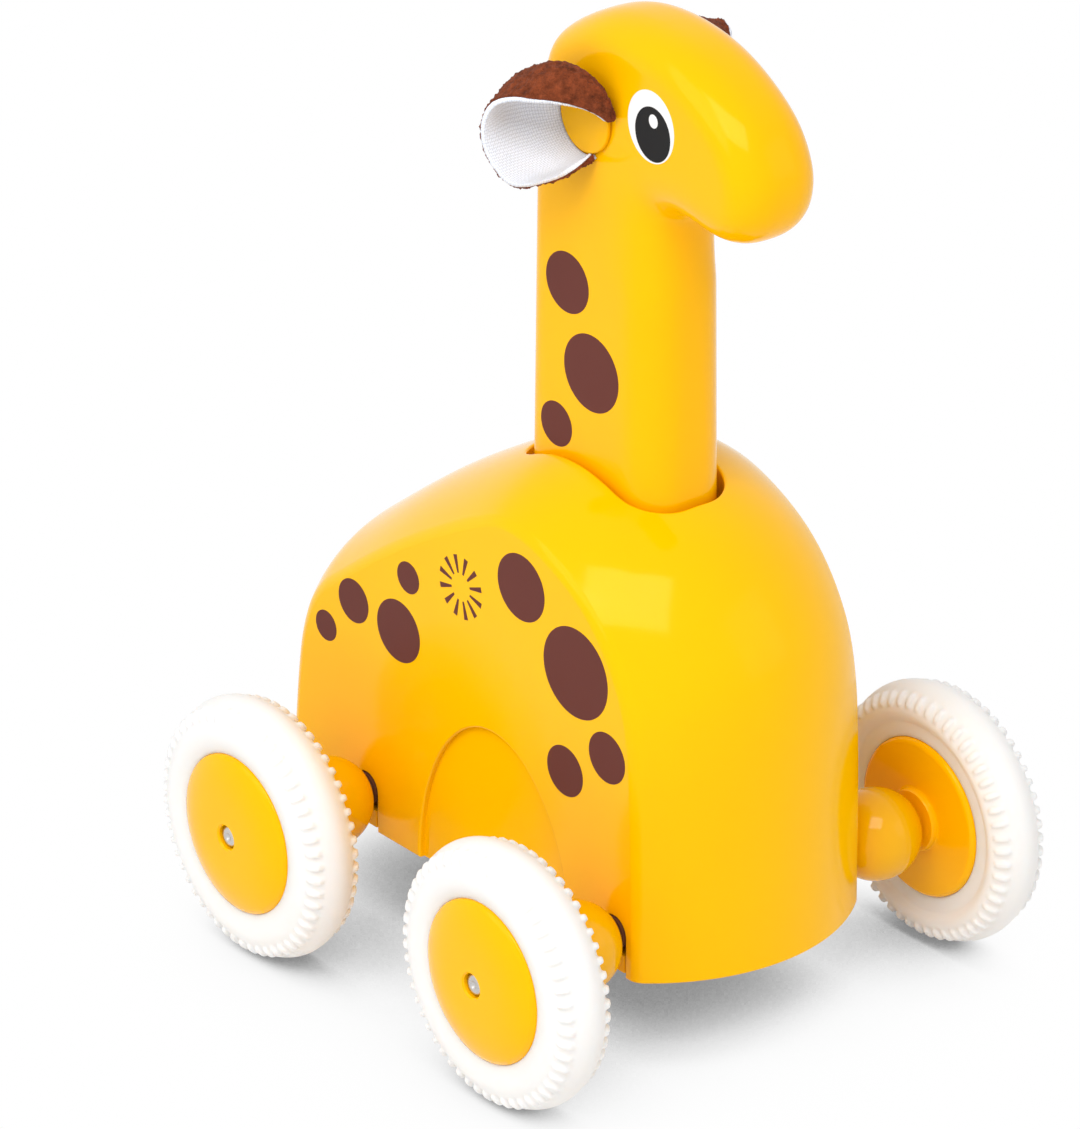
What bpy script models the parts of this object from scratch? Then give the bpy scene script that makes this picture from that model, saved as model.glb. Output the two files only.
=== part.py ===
"""Giraffe press-and-go toy: pressing the neck drives the rear wheels through a rack and gears.

Runs in Blender 4.5. Units are metres, +Z is up and the giraffe faces -Y, so its right side is -X.
Pieces are placed from a datum midway between the axles, at axle height.
"""

import math

import bmesh
import bpy
from mathutils import Vector

TOY_NAME = "giraffe_press_and_go_toy"
WELD_DISTANCE = 0.000002
SMOOTH_ANGLE = math.radians(32)

# Fits between neighbouring pieces
SEAT_GAP = 0.0003
RUNNING_GAP = 0.00015
BOTTOM_GAP = 0.0006

# Wheels, axles and beads
WHEELBASE = 0.0695
TYRE_RADIUS = 0.024
TYRE_HALF_WIDTH = 0.0062
TYRE_ROUNDNESS = 2.0
HUB_RADIUS = 0.01465
HUB_WIDTH = 0.0102
HUB_DOME = 0.0024
HUB_EDGE = 0.0009
HUB_COLLAR_RADIUS = 0.0057
HUB_COLLAR_HEIGHT = 0.0013
RIVET_RECESS = 0.0005
RIVET_RECESS_DEPTH = 0.0014
AXLE_RADIUS = 0.002
AXLE_CHAMFER = 0.0005
BEAD_RADIUS = 0.0083
BEAD_GAP = 0.0004
BUSH_WALL = 0.0009
BUSH_FLANGE = 0.001
BUSH_FLANGE_THICKNESS = 0.0014

# Body casing
BODY_WIDTH = 0.0502
BODY_BULGE = 0.0098
BODY_EDGE = 0.0008
BODY_WALL = 0.0028
BODY_SIDE_WALL = 0.003
ARCH_MARGIN = 0.01375
ARCH_OFFSET = -0.0015
ARCH_TOP = 0.025
ARCH_DEPTH = 0.0012
AXLE_SLOT_SIDE_GAP = 0.001
COLLAR_WALL = 0.002
BOSS_RADIUS = 0.0036
BOSS_INSET = 0.003
BOSS_TOP = 0.016
BOSS_FROM_FRONT_AXLE = 0.01075
BOSS_FROM_REAR_AXLE = 0.01325
PLATE_THICKNESS = 0.002
PLATE_RECESS = 0.0004
PLATE_EDGE_GAP = 0.0005
TONGUE_GAP = 0.0004
TONGUE_ROOT = 0.001
TONGUE_EDGE = 0.0003

# Side outline of the casing, as offsets from the front axle, the neck and the rear axle
FRONT_OVERHANG = 0.0057
REAR_OVERHANG = 0.0221
FRONT_LINE = ((-0.0053, 0.0225), (-0.0037, 0.0388), (0.0003, 0.049), (0.0074, 0.0574))
NECK_LINE = ((-0.0101, 0.0631), (0.0009, 0.0658), (0.0108, 0.0632))
REAR_LINE = ((-0.0106, 0.0516), (0.0068, 0.0393), (0.014, 0.0332), (0.0178, 0.0257), (0.0199, 0.0151))

# Neck and head
NECK_CENTRE = -0.0073
NECK_HALF_WIDTH = 0.0094
NECK_HALF_DEPTH = 0.0177
NECK_FRONT_ROUND = 0.0075
NECK_BACK_ROUND = 0.005
FULLEST_ROUND = 0.95
NECK_TAPER = 0.027
NECK_SLOT_HEIGHT = 0.071
NECK_SLOT_GAP = 0.0016
HEAD_HALF_WIDTH = 0.009
HEAD_ROUND = 0.0078
HEAD_ROUND_INSET = 0.006
HEAD_JOIN = 0.134
NECK_TOP_EDGE = 0.004
HEAD_LINE = (
    (0.0136, 0.1221), (0.0162, 0.1285), (0.0163, 0.1360), (0.0152, 0.1432), (0.0118, 0.1487),
    (0.0018, 0.1543), (-0.0082, 0.1559), (-0.0195, 0.1544), (-0.0290, 0.1503), (-0.0368, 0.1441),
    (-0.0409, 0.1361), (-0.0404, 0.1290), (-0.0365, 0.1244), (-0.0297, 0.1230), (-0.0187, 0.1240),
    (-0.0060, 0.1205), (0.0072, 0.1195),
)

# Ears: cloth cups wrapped round pegs
EAR_FROM_NECK = 0.0
EAR_HEIGHT = 0.1371
EAR_PEG_RADIUS = 0.0063
EAR_PEG_HEIGHT = 0.001
EAR_PEG_EDGE = 0.0003
EAR_SPIGOT_RADIUS = 0.003
EAR_SPIGOT_LENGTH = 0.0045
EAR_CLOTH = 0.0012
EAR_ROOT_GAP = 0.0004
EAR_BELLY_POWER = 1.5
# Round the peg from the front over the top: angle in degrees, rim depth, rim radius, belly
EAR_RIM = (
    (14, 0.0018, 0.0073, 0.0006), (29, 0.0038, 0.00705, 0.0018), (47, 0.0068, 0.0067, 0.0030),
    (66, 0.0094, 0.0061, 0.0037), (91, 0.0118, 0.0057, 0.0038), (121, 0.0134, 0.0064, 0.0031),
    (148, 0.0146, 0.0076, 0.0033), (172, 0.0152, 0.0084, 0.0034), (202, 0.0153, 0.0092, 0.0016),
    (232, 0.0152, 0.0085, 0.0008), (262, 0.0137, 0.0087, 0.0004), (290, 0.0101, 0.0086, 0.0002),
    (303, 0.0070, 0.0082, 0.0001), (312, 0.0043, 0.0076, 0.0000),
)

# Press mechanism
STROKE = 0.020
MODULE = 0.0008
PRESSURE_ANGLE = math.radians(20.0)
ADDENDUM = 0.85
DEDENDUM = 1.25
BACKLASH = 0.00022
PINION_TEETH = 12
DRIVE_TEETH = 30
AXLE_GEAR_TEETH = 10
IDLER_SLACK = 0.0035
GEAR_WIDTH = 0.004
PINION_WIDTH = 0.009
GEAR_HUB_RADIUS = 0.0031
GEAR_HUB_OVERLAP = 0.0003
SHAFT_RADIUS = 0.0015
GEAR_PLATE_THICKNESS = 0.002
GEAR_PLATE_WALL_GAP = 0.0025
GEAR_PLATE_MARGIN = 0.0045
GEAR_PLATE_CLEARANCE = 0.001
RIGHT_PLATE_X = -0.009
FOOT_WIDTH = 0.006
FOOT_LENGTH = 0.014
FOOT_THICKNESS = 0.0022
CLUTCH_RADIUS = 0.0045
CLUTCH_NOTCH = 0.0008
CLUTCH_UNDERCUT = math.radians(4.6)
CLUTCH_TEETH = 8
CLUTCH_WIDTH = 0.0055
RACK_WIDTH = 0.008
RACK_BACK = 0.005
RACK_PITCH_LINE = 0.0153
RACK_TEETH = 11
FLANGE_THICKNESS = 0.003
FLANGE_CLEARANCE = 0.0022
FLANGE_STOP_GAP = 0.0008
FLANGE_OVERLAP = 0.0012
FLANGE_FRONT = -0.0165
FLANGE_STEP = 0.0053
FLANGE_TAIL_HALF = 0.0075
SPRING_FROM_NECK = -0.0042
SPRING_RADIUS = 0.0055
SPRING_WIRE = 0.0006
SPRING_TURNS = 9
SPRING_POINTS = 10
SPRING_POST_RADIUS = 0.0036
SPRING_POST_HEIGHT = 0.012

# Screws
SCREW_RADIUS = 0.0012
SCREW_HEAD_RADIUS = 0.0022
SCREW_HEAD_HEIGHT = 0.0012
SCREW_SINK = 0.0001
BASE_SCREW_LENGTH = 0.013
FOOT_SCREW_LENGTH = 0.0036
RACK_SCREW_LENGTH = 0.012
FRONT_RACK_SCREW = -0.0135
REAR_RACK_SCREW = 0.0053

# Round pieces, in sides
TYRE_SIDES = 24
TYRE_SECTION_SIDES = 12
HUB_SIDES = 20
BEAD_SIDES = 14
BEAD_STEPS = 8
SMALL_SIDES = 16
SCREW_SIDES = 8
HEAD_ROUND_STEPS = 3
EAR_ROWS = 6
OUTLINE_STEPS = 3

# Values that follow from the sizes above
AXLE_Y = WHEELBASE / 2
BODY_HALF = BODY_WIDTH / 2
INNER_HALF = BODY_HALF - BODY_SIDE_WALL
BULGE_RADIUS = (BODY_HALF ** 2 + BODY_BULGE ** 2) / (2 * BODY_BULGE)
BORE_RADIUS = AXLE_RADIUS + RUNNING_GAP
BUSH_RADIUS = BORE_RADIUS + BUSH_WALL
BEAD_X = BODY_HALF + BEAD_GAP + BEAD_RADIUS
BEAD_END = BEAD_X + math.sqrt(BEAD_RADIUS ** 2 - BORE_RADIUS ** 2)
HUB_X = BEAD_END + SEAT_GAP + HUB_COLLAR_HEIGHT
TYRE_X = HUB_X + HUB_WIDTH / 2
AXLE_END = HUB_X + HUB_WIDTH + HUB_DOME - RIVET_RECESS
TOY_FRONT = -AXLE_Y - TYRE_RADIUS
TOY_REAR = AXLE_Y + REAR_OVERHANG + BODY_BULGE
DATUM = Vector((0.0, -(TOY_FRONT + TOY_REAR) / 2, TYRE_RADIUS))

PINION_RADIUS = MODULE * PINION_TEETH / 2
DRIVE_RADIUS = MODULE * DRIVE_TEETH / 2
AXLE_GEAR_RADIUS = MODULE * AXLE_GEAR_TEETH / 2
RACK_PITCH = math.pi * MODULE
PLATE_TOP = -(AXLE_GEAR_RADIUS + ADDENDUM * MODULE + BOTTOM_GAP)
PLATE_BOTTOM = PLATE_TOP - PLATE_THICKNESS
BODY_BOTTOM = PLATE_BOTTOM - PLATE_RECESS
DRIVE_Y = NECK_CENTRE + RACK_PITCH_LINE + PINION_RADIUS
DRIVE_Z = PLATE_TOP + STROKE + 2 * SEAT_GAP + RACK_PITCH
IDLER_SPAN = math.hypot(AXLE_Y - DRIVE_Y, DRIVE_Z)
IDLER_TEETH = math.ceil((IDLER_SPAN + IDLER_SLACK - DRIVE_RADIUS - AXLE_GEAR_RADIUS) / MODULE)
IDLER_RADIUS = MODULE * IDLER_TEETH / 2
FLANGE_BOTTOM = DRIVE_Z + PINION_RADIUS + ADDENDUM * MODULE + FLANGE_CLEARANCE + STROKE
FLANGE_TOP = FLANGE_BOTTOM + FLANGE_THICKNESS
NECK_BOTTOM = FLANGE_TOP + SEAT_GAP
COLLAR_BOTTOM = FLANGE_TOP + FLANGE_STOP_GAP
LEFT_PLATE_X = INNER_HALF - GEAR_PLATE_WALL_GAP - GEAR_PLATE_THICKNESS / 2
GEAR_END = LEFT_PLATE_X - GEAR_PLATE_THICKNESS / 2 - GEAR_PLATE_CLEARANCE
GEAR_START = GEAR_END - GEAR_WIDTH
RIGHT_HUB_END = RIGHT_PLATE_X + GEAR_PLATE_THICKNESS / 2 + SEAT_GAP
LEFT_HUB_END = LEFT_PLATE_X - GEAR_PLATE_THICKNESS / 2 - SEAT_GAP
EAR_Y = NECK_CENTRE + EAR_FROM_NECK
SPRING_Y = NECK_CENTRE + SPRING_FROM_NECK

SIDEWAYS = (math.pi / 2, 0.0, math.pi / 2)
FACE_LEFT = (0.0, math.pi / 2, 0.0)
FACE_RIGHT = (0.0, -math.pi / 2, 0.0)
FACE_FRONT = (math.pi / 2, 0.0, 0.0)


def clear_scene():
    """Empty the scene and give back the collections for the parts and for the cutters."""
    for obj in list(bpy.data.objects):
        bpy.data.objects.remove(obj, do_unlink=True)
    parts = bpy.data.collections.new(TOY_NAME)
    cutters = bpy.data.collections.new("cutters")
    bpy.context.scene.collection.children.link(parts)
    bpy.context.scene.collection.children.link(cutters)
    return parts, cutters


PARTS, CUTTERS = clear_scene()


def make_material(name, colour, roughness, metallic=0.0):
    """A Principled material of one plain finish."""
    material = bpy.data.materials.new(name)
    material.use_nodes = True
    shader = material.node_tree.nodes["Principled BSDF"]
    shader.inputs["Base Color"].default_value = (*colour, 1.0)
    shader.inputs["Roughness"].default_value = roughness
    shader.inputs["Metallic"].default_value = metallic
    return material


YELLOW = make_material("yellow_casing", (1.0, 0.55, 0.0), 0.25)
LACQUER = make_material("yellow_lacquer", (1.0, 0.56, 0.0), 0.22)
BEAD_LACQUER = make_material("bead_lacquer", (0.93, 0.43, 0.003), 0.15)
TYRE_WHITE = make_material("tyre_white", (0.93, 0.92, 0.88), 0.5)
FELT = make_material("brown_felt", (0.30, 0.065, 0.026), 0.95)
STEEL = make_material("steel", (0.55, 0.54, 0.52), 0.3, 1.0)
NATURAL = make_material("natural_acetal", (0.82, 0.80, 0.74), 0.4)
BUSH_BROWN = make_material("brown_acetal", (0.073, 0.030, 0.016), 0.35)
GREY = make_material("grey_plastic", (0.18, 0.18, 0.19), 0.5)
BASE_YELLOW = make_material("yellow_base", (1.0, 0.5, 0.0), 0.45)


def add_empty(name, location, parent=None):
    """An empty that marks a datum or a joint axis."""
    empty = bpy.data.objects.new(name, None)
    empty.location = location
    empty.parent = parent
    PARTS.objects.link(empty)
    return empty


ORIGIN = add_empty("axle_datum", DATUM)


def place(name, mesh, material, location=(0, 0, 0), rotation=(0, 0, 0), parent=ORIGIN):
    """Link a mesh as a named part."""
    mesh.materials.clear()
    mesh.materials.append(material)
    mesh.shade_smooth()
    mesh.set_sharp_from_angle(angle=SMOOTH_ANGLE)
    part = bpy.data.objects.new(name, mesh)
    part.location = location
    part.rotation_euler = rotation
    part.parent = parent
    PARTS.objects.link(part)
    return part


def guide(name, mesh, location=(0, 0, 0), rotation=(0, 0, 0)):
    """Link a mesh as a hidden cutter or boolean partner."""
    cutter = bpy.data.objects.new(name, mesh)
    cutter.location = location
    cutter.rotation_euler = rotation
    cutter.parent = ORIGIN
    cutter.hide_render = True
    cutter.display_type = "WIRE"
    CUTTERS.objects.link(cutter)
    return cutter


def combine(target, other, operation):
    """Add an exact Boolean modifier."""
    modifier = target.modifiers.new(f"{operation.lower()}_{other.name}", "BOOLEAN")
    modifier.operation = operation
    modifier.solver = "EXACT"
    modifier.object = other


def finish_mesh(name, shape):
    """Turn a bmesh into a mesh with welded points and outward faces."""
    bmesh.ops.remove_doubles(shape, verts=shape.verts, dist=WELD_DISTANCE)
    bmesh.ops.recalc_face_normals(shape, faces=shape.faces)
    mesh = bpy.data.meshes.new(name)
    shape.to_mesh(mesh)
    shape.free()
    return mesh


def box_mesh(name, low, high):
    """A box between two corners."""
    size = [high[axis] - low[axis] for axis in range(3)]
    centre = [(high[axis] + low[axis]) / 2 for axis in range(3)]
    shape = bmesh.new()
    bmesh.ops.create_cube(shape, size=1.0)
    bmesh.ops.scale(shape, vec=size, verts=shape.verts)
    bmesh.ops.translate(shape, vec=centre, verts=shape.verts)
    return finish_mesh(name, shape)


def post_mesh(name, radius, low, high, sides=SMALL_SIDES, top_radius=None):
    """An upright cylinder, or a cone, between two heights."""
    top = radius if top_radius is None else top_radius
    shape = bmesh.new()
    bmesh.ops.create_cone(
        shape, cap_ends=True, segments=sides, radius1=radius, radius2=top, depth=high - low
    )
    bmesh.ops.translate(shape, vec=(0, 0, (low + high) / 2), verts=shape.verts)
    return finish_mesh(name, shape)


def outline_mesh(name, outline, low, high, holes=()):
    """A flat outline with holes, filled between two heights along its local Z."""
    curve = bpy.data.curves.new(name, "CURVE")
    curve.dimensions = "2D"
    curve.fill_mode = "BOTH"
    curve.extrude = (high - low) / 2
    for loop in (outline, *holes):
        spline = curve.splines.new("POLY")
        spline.points.add(len(loop) - 1)
        spline.use_cyclic_u = True
        for point, (across, along) in zip(spline.points, loop):
            point.co = (across, along, 0.0, 1.0)
    holder = bpy.data.objects.new(name, curve)
    bpy.context.scene.collection.objects.link(holder)
    bpy.context.view_layer.update()
    evaluated = holder.evaluated_get(bpy.context.evaluated_depsgraph_get())
    raw = bpy.data.meshes.new_from_object(evaluated)
    bpy.data.objects.remove(holder)
    bpy.data.curves.remove(curve)
    shape = bmesh.new()
    shape.from_mesh(raw)
    bpy.data.meshes.remove(raw)
    bmesh.ops.translate(shape, vec=(0, 0, (low + high) / 2), verts=shape.verts)
    return finish_mesh(name, shape)


def loft_mesh(name, rings):
    """Skin closed rings of equal count and cap both ends."""
    shape = bmesh.new()
    loops = [[shape.verts.new(point) for point in ring] for ring in rings]
    for near, far in zip(loops, loops[1:]):
        for index in range(len(near)):
            shape.faces.new((near[index - 1], near[index], far[index], far[index - 1]))
    shape.faces.new(loops[0])
    shape.faces.new(loops[-1])
    bmesh.ops.triangulate(shape, faces=shape.faces)
    return finish_mesh(name, shape)


def rounded_plate(name, outline, half_width, rounding, full_inset, steps):
    """A plate across X with a counterclockwise Y-Z outline and edges rounded to an ellipse."""
    normals = []
    for index in range(len(outline)):
        run = (outline[(index + 1) % len(outline)] - outline[index - 1]).normalized()
        normals.append(Vector((run.y, -run.x)))
    rings = []
    for side in (-1, 1):
        angles = [math.pi / 2 * step / steps for step in range(steps + 1)]
        for angle in reversed(angles) if side < 0 else angles:
            x = side * (half_width - rounding + rounding * math.sin(angle))
            inset = full_inset * (1 - math.cos(angle))
            rings.append([(x, *(point - normal * inset)) for point, normal in zip(outline, normals)])
    return loft_mesh(name, rings)


def turned(name, profile, material, sides, location, rotation, parent=ORIGIN, closed=True):
    """A turned part: a profile of radius and height, run down its outer side, on a Screw."""
    mesh = bpy.data.meshes.new(name)
    points = [(radius, 0.0, height) for radius, height in profile]
    edges = [(index, index + 1) for index in range(len(points) - 1)]
    if closed:
        edges.append((len(points) - 1, 0))
    mesh.from_pydata(points, edges, [])
    part = place(name, mesh, material, location, rotation, parent)
    screw = part.modifiers.new("turn", "SCREW")
    screw.axis = "Z"
    screw.angle = math.tau
    screw.steps = sides
    screw.render_steps = sides
    screw.use_merge_vertices = True
    screw.merge_threshold = WELD_DISTANCE
    screw.use_smooth_shade = True
    return part


def circle(radius, centre=(0.0, 0.0), sides=SMALL_SIDES):
    """A ring of points, counterclockwise."""
    turns = [math.tau * index / sides for index in range(sides)]
    return [(centre[0] + radius * math.cos(a), centre[1] + radius * math.sin(a)) for a in turns]


def smooth_path(points, per_span, cyclic=False):
    """A Catmull-Rom curve through the points, with a fixed count of steps in each span."""
    count = len(points)
    spans = count if cyclic else count - 1
    path = []
    for span in range(spans):
        if cyclic:
            four = [points[(span + shift) % count] for shift in (-1, 0, 1, 2)]
        else:
            four = [points[min(max(span + shift, 0), count - 1)] for shift in (-1, 0, 1, 2)]
        before, start, end, after = (Vector(point) for point in four)
        for step in range(per_span):
            t = step / per_span
            path.append(
                start
                + (end - before) * (0.5 * t)
                + (before * 2 - start * 5 + end * 4 - after) * (0.5 * t * t)
                + (start * 3 - before - end * 3 + after) * (0.5 * t * t * t)
            )
    if not cyclic:
        path.append(Vector(points[-1]))
    return path


def body_outline():
    """The side outline from the front bottom edge over the crown to the rear bottom edge."""
    points = [(-AXLE_Y - FRONT_OVERHANG, BODY_BOTTOM)]
    points += [(-AXLE_Y + along, up) for along, up in FRONT_LINE]
    points += [(NECK_CENTRE + along, up) for along, up in NECK_LINE]
    points += [(AXLE_Y + along, up) for along, up in REAR_LINE]
    points.append((AXLE_Y + REAR_OVERHANG, BODY_BOTTOM))
    return smooth_path(points, OUTLINE_STEPS)


def outline_normals(path):
    """Outward unit normals of the side outline, level at its two ends."""
    normals = []
    for index in range(len(path)):
        ahead = path[min(index + 1, len(path) - 1)]
        behind = path[max(index - 1, 0)]
        run = (ahead - behind).normalized()
        normals.append(Vector((-run.y, run.x)))
    normals[0] = Vector((-1.0, 0.0))
    normals[-1] = Vector((1.0, 0.0))
    return normals


def bulge_at(x):
    """How far the crown stands out of the side outline, at a distance from the middle."""
    return BODY_BULGE - BULGE_RADIUS + math.sqrt(BULGE_RADIUS ** 2 - x ** 2)


def body_rings(stations, floor):
    """Cross rings of the casing: each station is an x and how far to grow past the bulge."""
    path = body_outline()
    normals = outline_normals(path)
    rings = []
    for x, grow in stations:
        reach = bulge_at(x) + grow
        ring = [(x, *(point + normal * reach)) for point, normal in zip(path, normals)]
        ring[0] = (x, ring[0][1], floor)
        ring[-1] = (x, ring[-1][1], floor)
        rings.append(ring)
    return rings


def mirrored(stations):
    """Stations for both sides of the middle, from -X to +X."""
    middle = [] if stations[-1][0] > 0 else [stations[-1]]
    sides = stations if not middle else stations[:-1]
    return [(-x, grow) for x, grow in sides] + middle + [(x, grow) for x, grow in reversed(sides)]


def rounded_plan(half_width, front, back, front_round, back_round, steps=5):
    """Plan of the neck: a rectangle with rounder corners at the front than at the back."""
    corners = (
        (half_width - front_round, front + front_round, front_round, -math.pi / 2),
        (half_width - back_round, back - back_round, back_round, 0.0),
        (-half_width + back_round, back - back_round, back_round, math.pi / 2),
        (-half_width + front_round, front + front_round, front_round, math.pi),
    )
    plan = []
    for x, y, radius, start in corners:
        for step in range(steps + 1):
            angle = start + math.pi / 2 * step / steps
            plan.append((x + radius * math.cos(angle), y + radius * math.sin(angle)))
    return plan


def neck_plan(height, gap=0.0):
    """The neck's plan at a height, grown by a gap."""
    narrowing = (height - NECK_SLOT_HEIGHT) * NECK_TAPER
    half_depth = NECK_HALF_DEPTH - narrowing + gap
    half_width = NECK_HALF_WIDTH - narrowing * NECK_HALF_WIDTH / NECK_HALF_DEPTH + gap
    front_round = min(NECK_FRONT_ROUND + gap, half_width * FULLEST_ROUND)
    back_round = min(NECK_BACK_ROUND + gap, half_width * FULLEST_ROUND)
    return rounded_plan(
        half_width, NECK_CENTRE - half_depth, NECK_CENTRE + half_depth, front_round, back_round
    )


def boss_places():
    """Where the base screws go up into the casing."""
    x = INNER_HALF - BOSS_INSET
    front = -AXLE_Y + BOSS_FROM_FRONT_AXLE
    rear = AXLE_Y + BOSS_FROM_REAR_AXLE
    return {
        "front_right": (-x, front), "front_left": (x, front),
        "rear_right": (-x, rear), "rear_left": (x, rear),
    }


def slot_half_width():
    """Half the width of the slot that an axle is dropped in through."""
    return AXLE_RADIUS + AXLE_SLOT_SIDE_GAP


def keyhole_outline():
    """An axle hole with its assembly slot down past the bottom edge."""
    radius = BUSH_RADIUS + SEAT_GAP
    half_slot = slot_half_width()
    start = -math.acos(half_slot / radius)
    sweep = math.pi - 2 * start
    arc = [start + sweep * step / SMALL_SIDES for step in range(SMALL_SIDES + 1)]
    outline = [(radius * math.cos(a), radius * math.sin(a)) for a in arc]
    outline[0] = (half_slot, outline[0][1])
    outline[-1] = (-half_slot, outline[-1][1])
    floor = BODY_BOTTOM - PLATE_THICKNESS
    return outline + [(-half_slot, floor), (half_slot, floor)]


def arch_outline():
    """The belly arch: half an ellipse standing on the bottom edge."""
    half = AXLE_Y - ARCH_MARGIN
    floor = BODY_BOTTOM - PLATE_THICKNESS
    rise = ARCH_TOP - BODY_BOTTOM
    outline = [(ARCH_OFFSET + half, floor)]
    for step in range(SMALL_SIDES + 1):
        angle = math.pi * step / SMALL_SIDES
        outline.append((ARCH_OFFSET + half * math.cos(angle), BODY_BOTTOM + rise * math.sin(angle)))
    outline.append((ARCH_OFFSET - half, floor))
    return outline


def build_body_shell():
    """The casing: a bulged outer form emptied by a core that leaves a neck collar and bosses."""
    shoulder = BODY_HALF - BODY_EDGE
    outer = [(BODY_HALF, -BODY_EDGE), (shoulder, 0.0)]
    outer += [(shoulder * share, 0.0) for share in (0.67, 0.33, 0.0)]
    rings = body_rings(mirrored(outer), BODY_BOTTOM)
    shell = place("body_shell", loft_mesh("body_shell", rings), YELLOW)

    inner = [(INNER_HALF * share, -BODY_WALL) for share in (1.0, 0.67, 0.33, 0.0)]
    floor = BODY_BOTTOM - 2 * PLATE_THICKNESS
    core = guide("casing_core", loft_mesh("casing_core", body_rings(mirrored(inner), floor)))
    roof = NECK_LINE[1][1] + 2 * BODY_BULGE
    collar = outline_mesh(
        "neck_collar", neck_plan(NECK_SLOT_HEIGHT, NECK_SLOT_GAP + COLLAR_WALL), COLLAR_BOTTOM, roof
    )
    combine(core, guide("neck_collar", collar), "DIFFERENCE")
    for name, (x, y) in boss_places().items():
        boss = post_mesh(f"boss_{name}", BOSS_RADIUS, PLATE_TOP + SEAT_GAP, BOSS_TOP)
        combine(core, guide(f"boss_{name}", boss, (x, y, 0)), "DIFFERENCE")
    combine(shell, core, "DIFFERENCE")

    slot = outline_mesh(
        "neck_slot", neck_plan(NECK_SLOT_HEIGHT, NECK_SLOT_GAP), COLLAR_BOTTOM - COLLAR_WALL, roof
    )
    combine(shell, guide("neck_slot", slot), "DIFFERENCE")
    for end, y in (("front", -AXLE_Y), ("rear", AXLE_Y)):
        keyhole = outline_mesh(f"axle_keyhole_{end}", keyhole_outline(), -BODY_WIDTH, BODY_WIDTH)
        combine(shell, guide(f"axle_keyhole_{end}", keyhole, (0, y, 0), SIDEWAYS), "DIFFERENCE")
    for side, sign in (("right", -1), ("left", 1)):
        reach = sorted((sign * (BODY_HALF - ARCH_DEPTH), sign * BODY_WIDTH))
        arch = outline_mesh(f"belly_arch_{side}", arch_outline(), *reach)
        combine(shell, guide(f"belly_arch_{side}", arch, (0, 0, 0), SIDEWAYS), "DIFFERENCE")
    for name, (x, y) in boss_places().items():
        top = PLATE_BOTTOM + SCREW_SINK + BASE_SCREW_LENGTH + SEAT_GAP
        pilot = post_mesh(f"pilot_{name}", SCREW_RADIUS + SEAT_GAP, PLATE_TOP, top, SCREW_SIDES)
        combine(shell, guide(f"pilot_{name}", pilot, (x, y, 0)), "DIFFERENCE")


def foot_screw_places():
    """Where the gear plates' feet are screwed to the base plate."""
    rear = AXLE_Y - AXLE_GEAR_RADIUS - ADDENDUM * MODULE - GEAR_PLATE_CLEARANCE
    spread = FOOT_LENGTH / 4
    middle = rear - FOOT_LENGTH / 2
    right = RIGHT_PLATE_X - GEAR_PLATE_THICKNESS / 2 - FOOT_WIDTH / 2
    left = LEFT_PLATE_X - GEAR_PLATE_THICKNESS / 2 - FOOT_WIDTH / 2
    return {
        "right_front": (right, middle - spread), "right_rear": (right, middle + spread),
        "left_front": (left, middle - spread), "left_rear": (left, middle + spread),
    }


def sink_screw(plate, name, location):
    """Cut a cone under a plate for a countersunk screw head."""
    slope = (SCREW_HEAD_RADIUS - SCREW_RADIUS) / SCREW_HEAD_HEIGHT
    wide = SCREW_HEAD_RADIUS + 2 * SEAT_GAP + 2 * SCREW_SINK * slope
    depth = (wide - SCREW_RADIUS) / slope - SCREW_SINK
    cone = post_mesh(f"sink_{name}", wide, -SCREW_SINK, depth, SCREW_SIDES, SCREW_RADIUS)
    combine(plate, guide(f"sink_{name}", cone, location), "DIFFERENCE")


def tongue_outline(sign):
    """A tongue on the base plate's edge that closes an axle slot from below, seen from the front."""
    root = INNER_HALF - PLATE_EDGE_GAP - TONGUE_ROOT
    riser = INNER_HALF + PLATE_EDGE_GAP
    face = BODY_HALF - SEAT_GAP
    low = PLATE_BOTTOM + TONGUE_EDGE
    shelf = PLATE_TOP - TONGUE_EDGE
    top = -BUSH_RADIUS - 2 * SEAT_GAP
    points = ((root, low), (face, low), (face, top), (riser, top), (riser, shelf), (root, shelf))
    return [(sign * x, z) for x, z in points]


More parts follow.
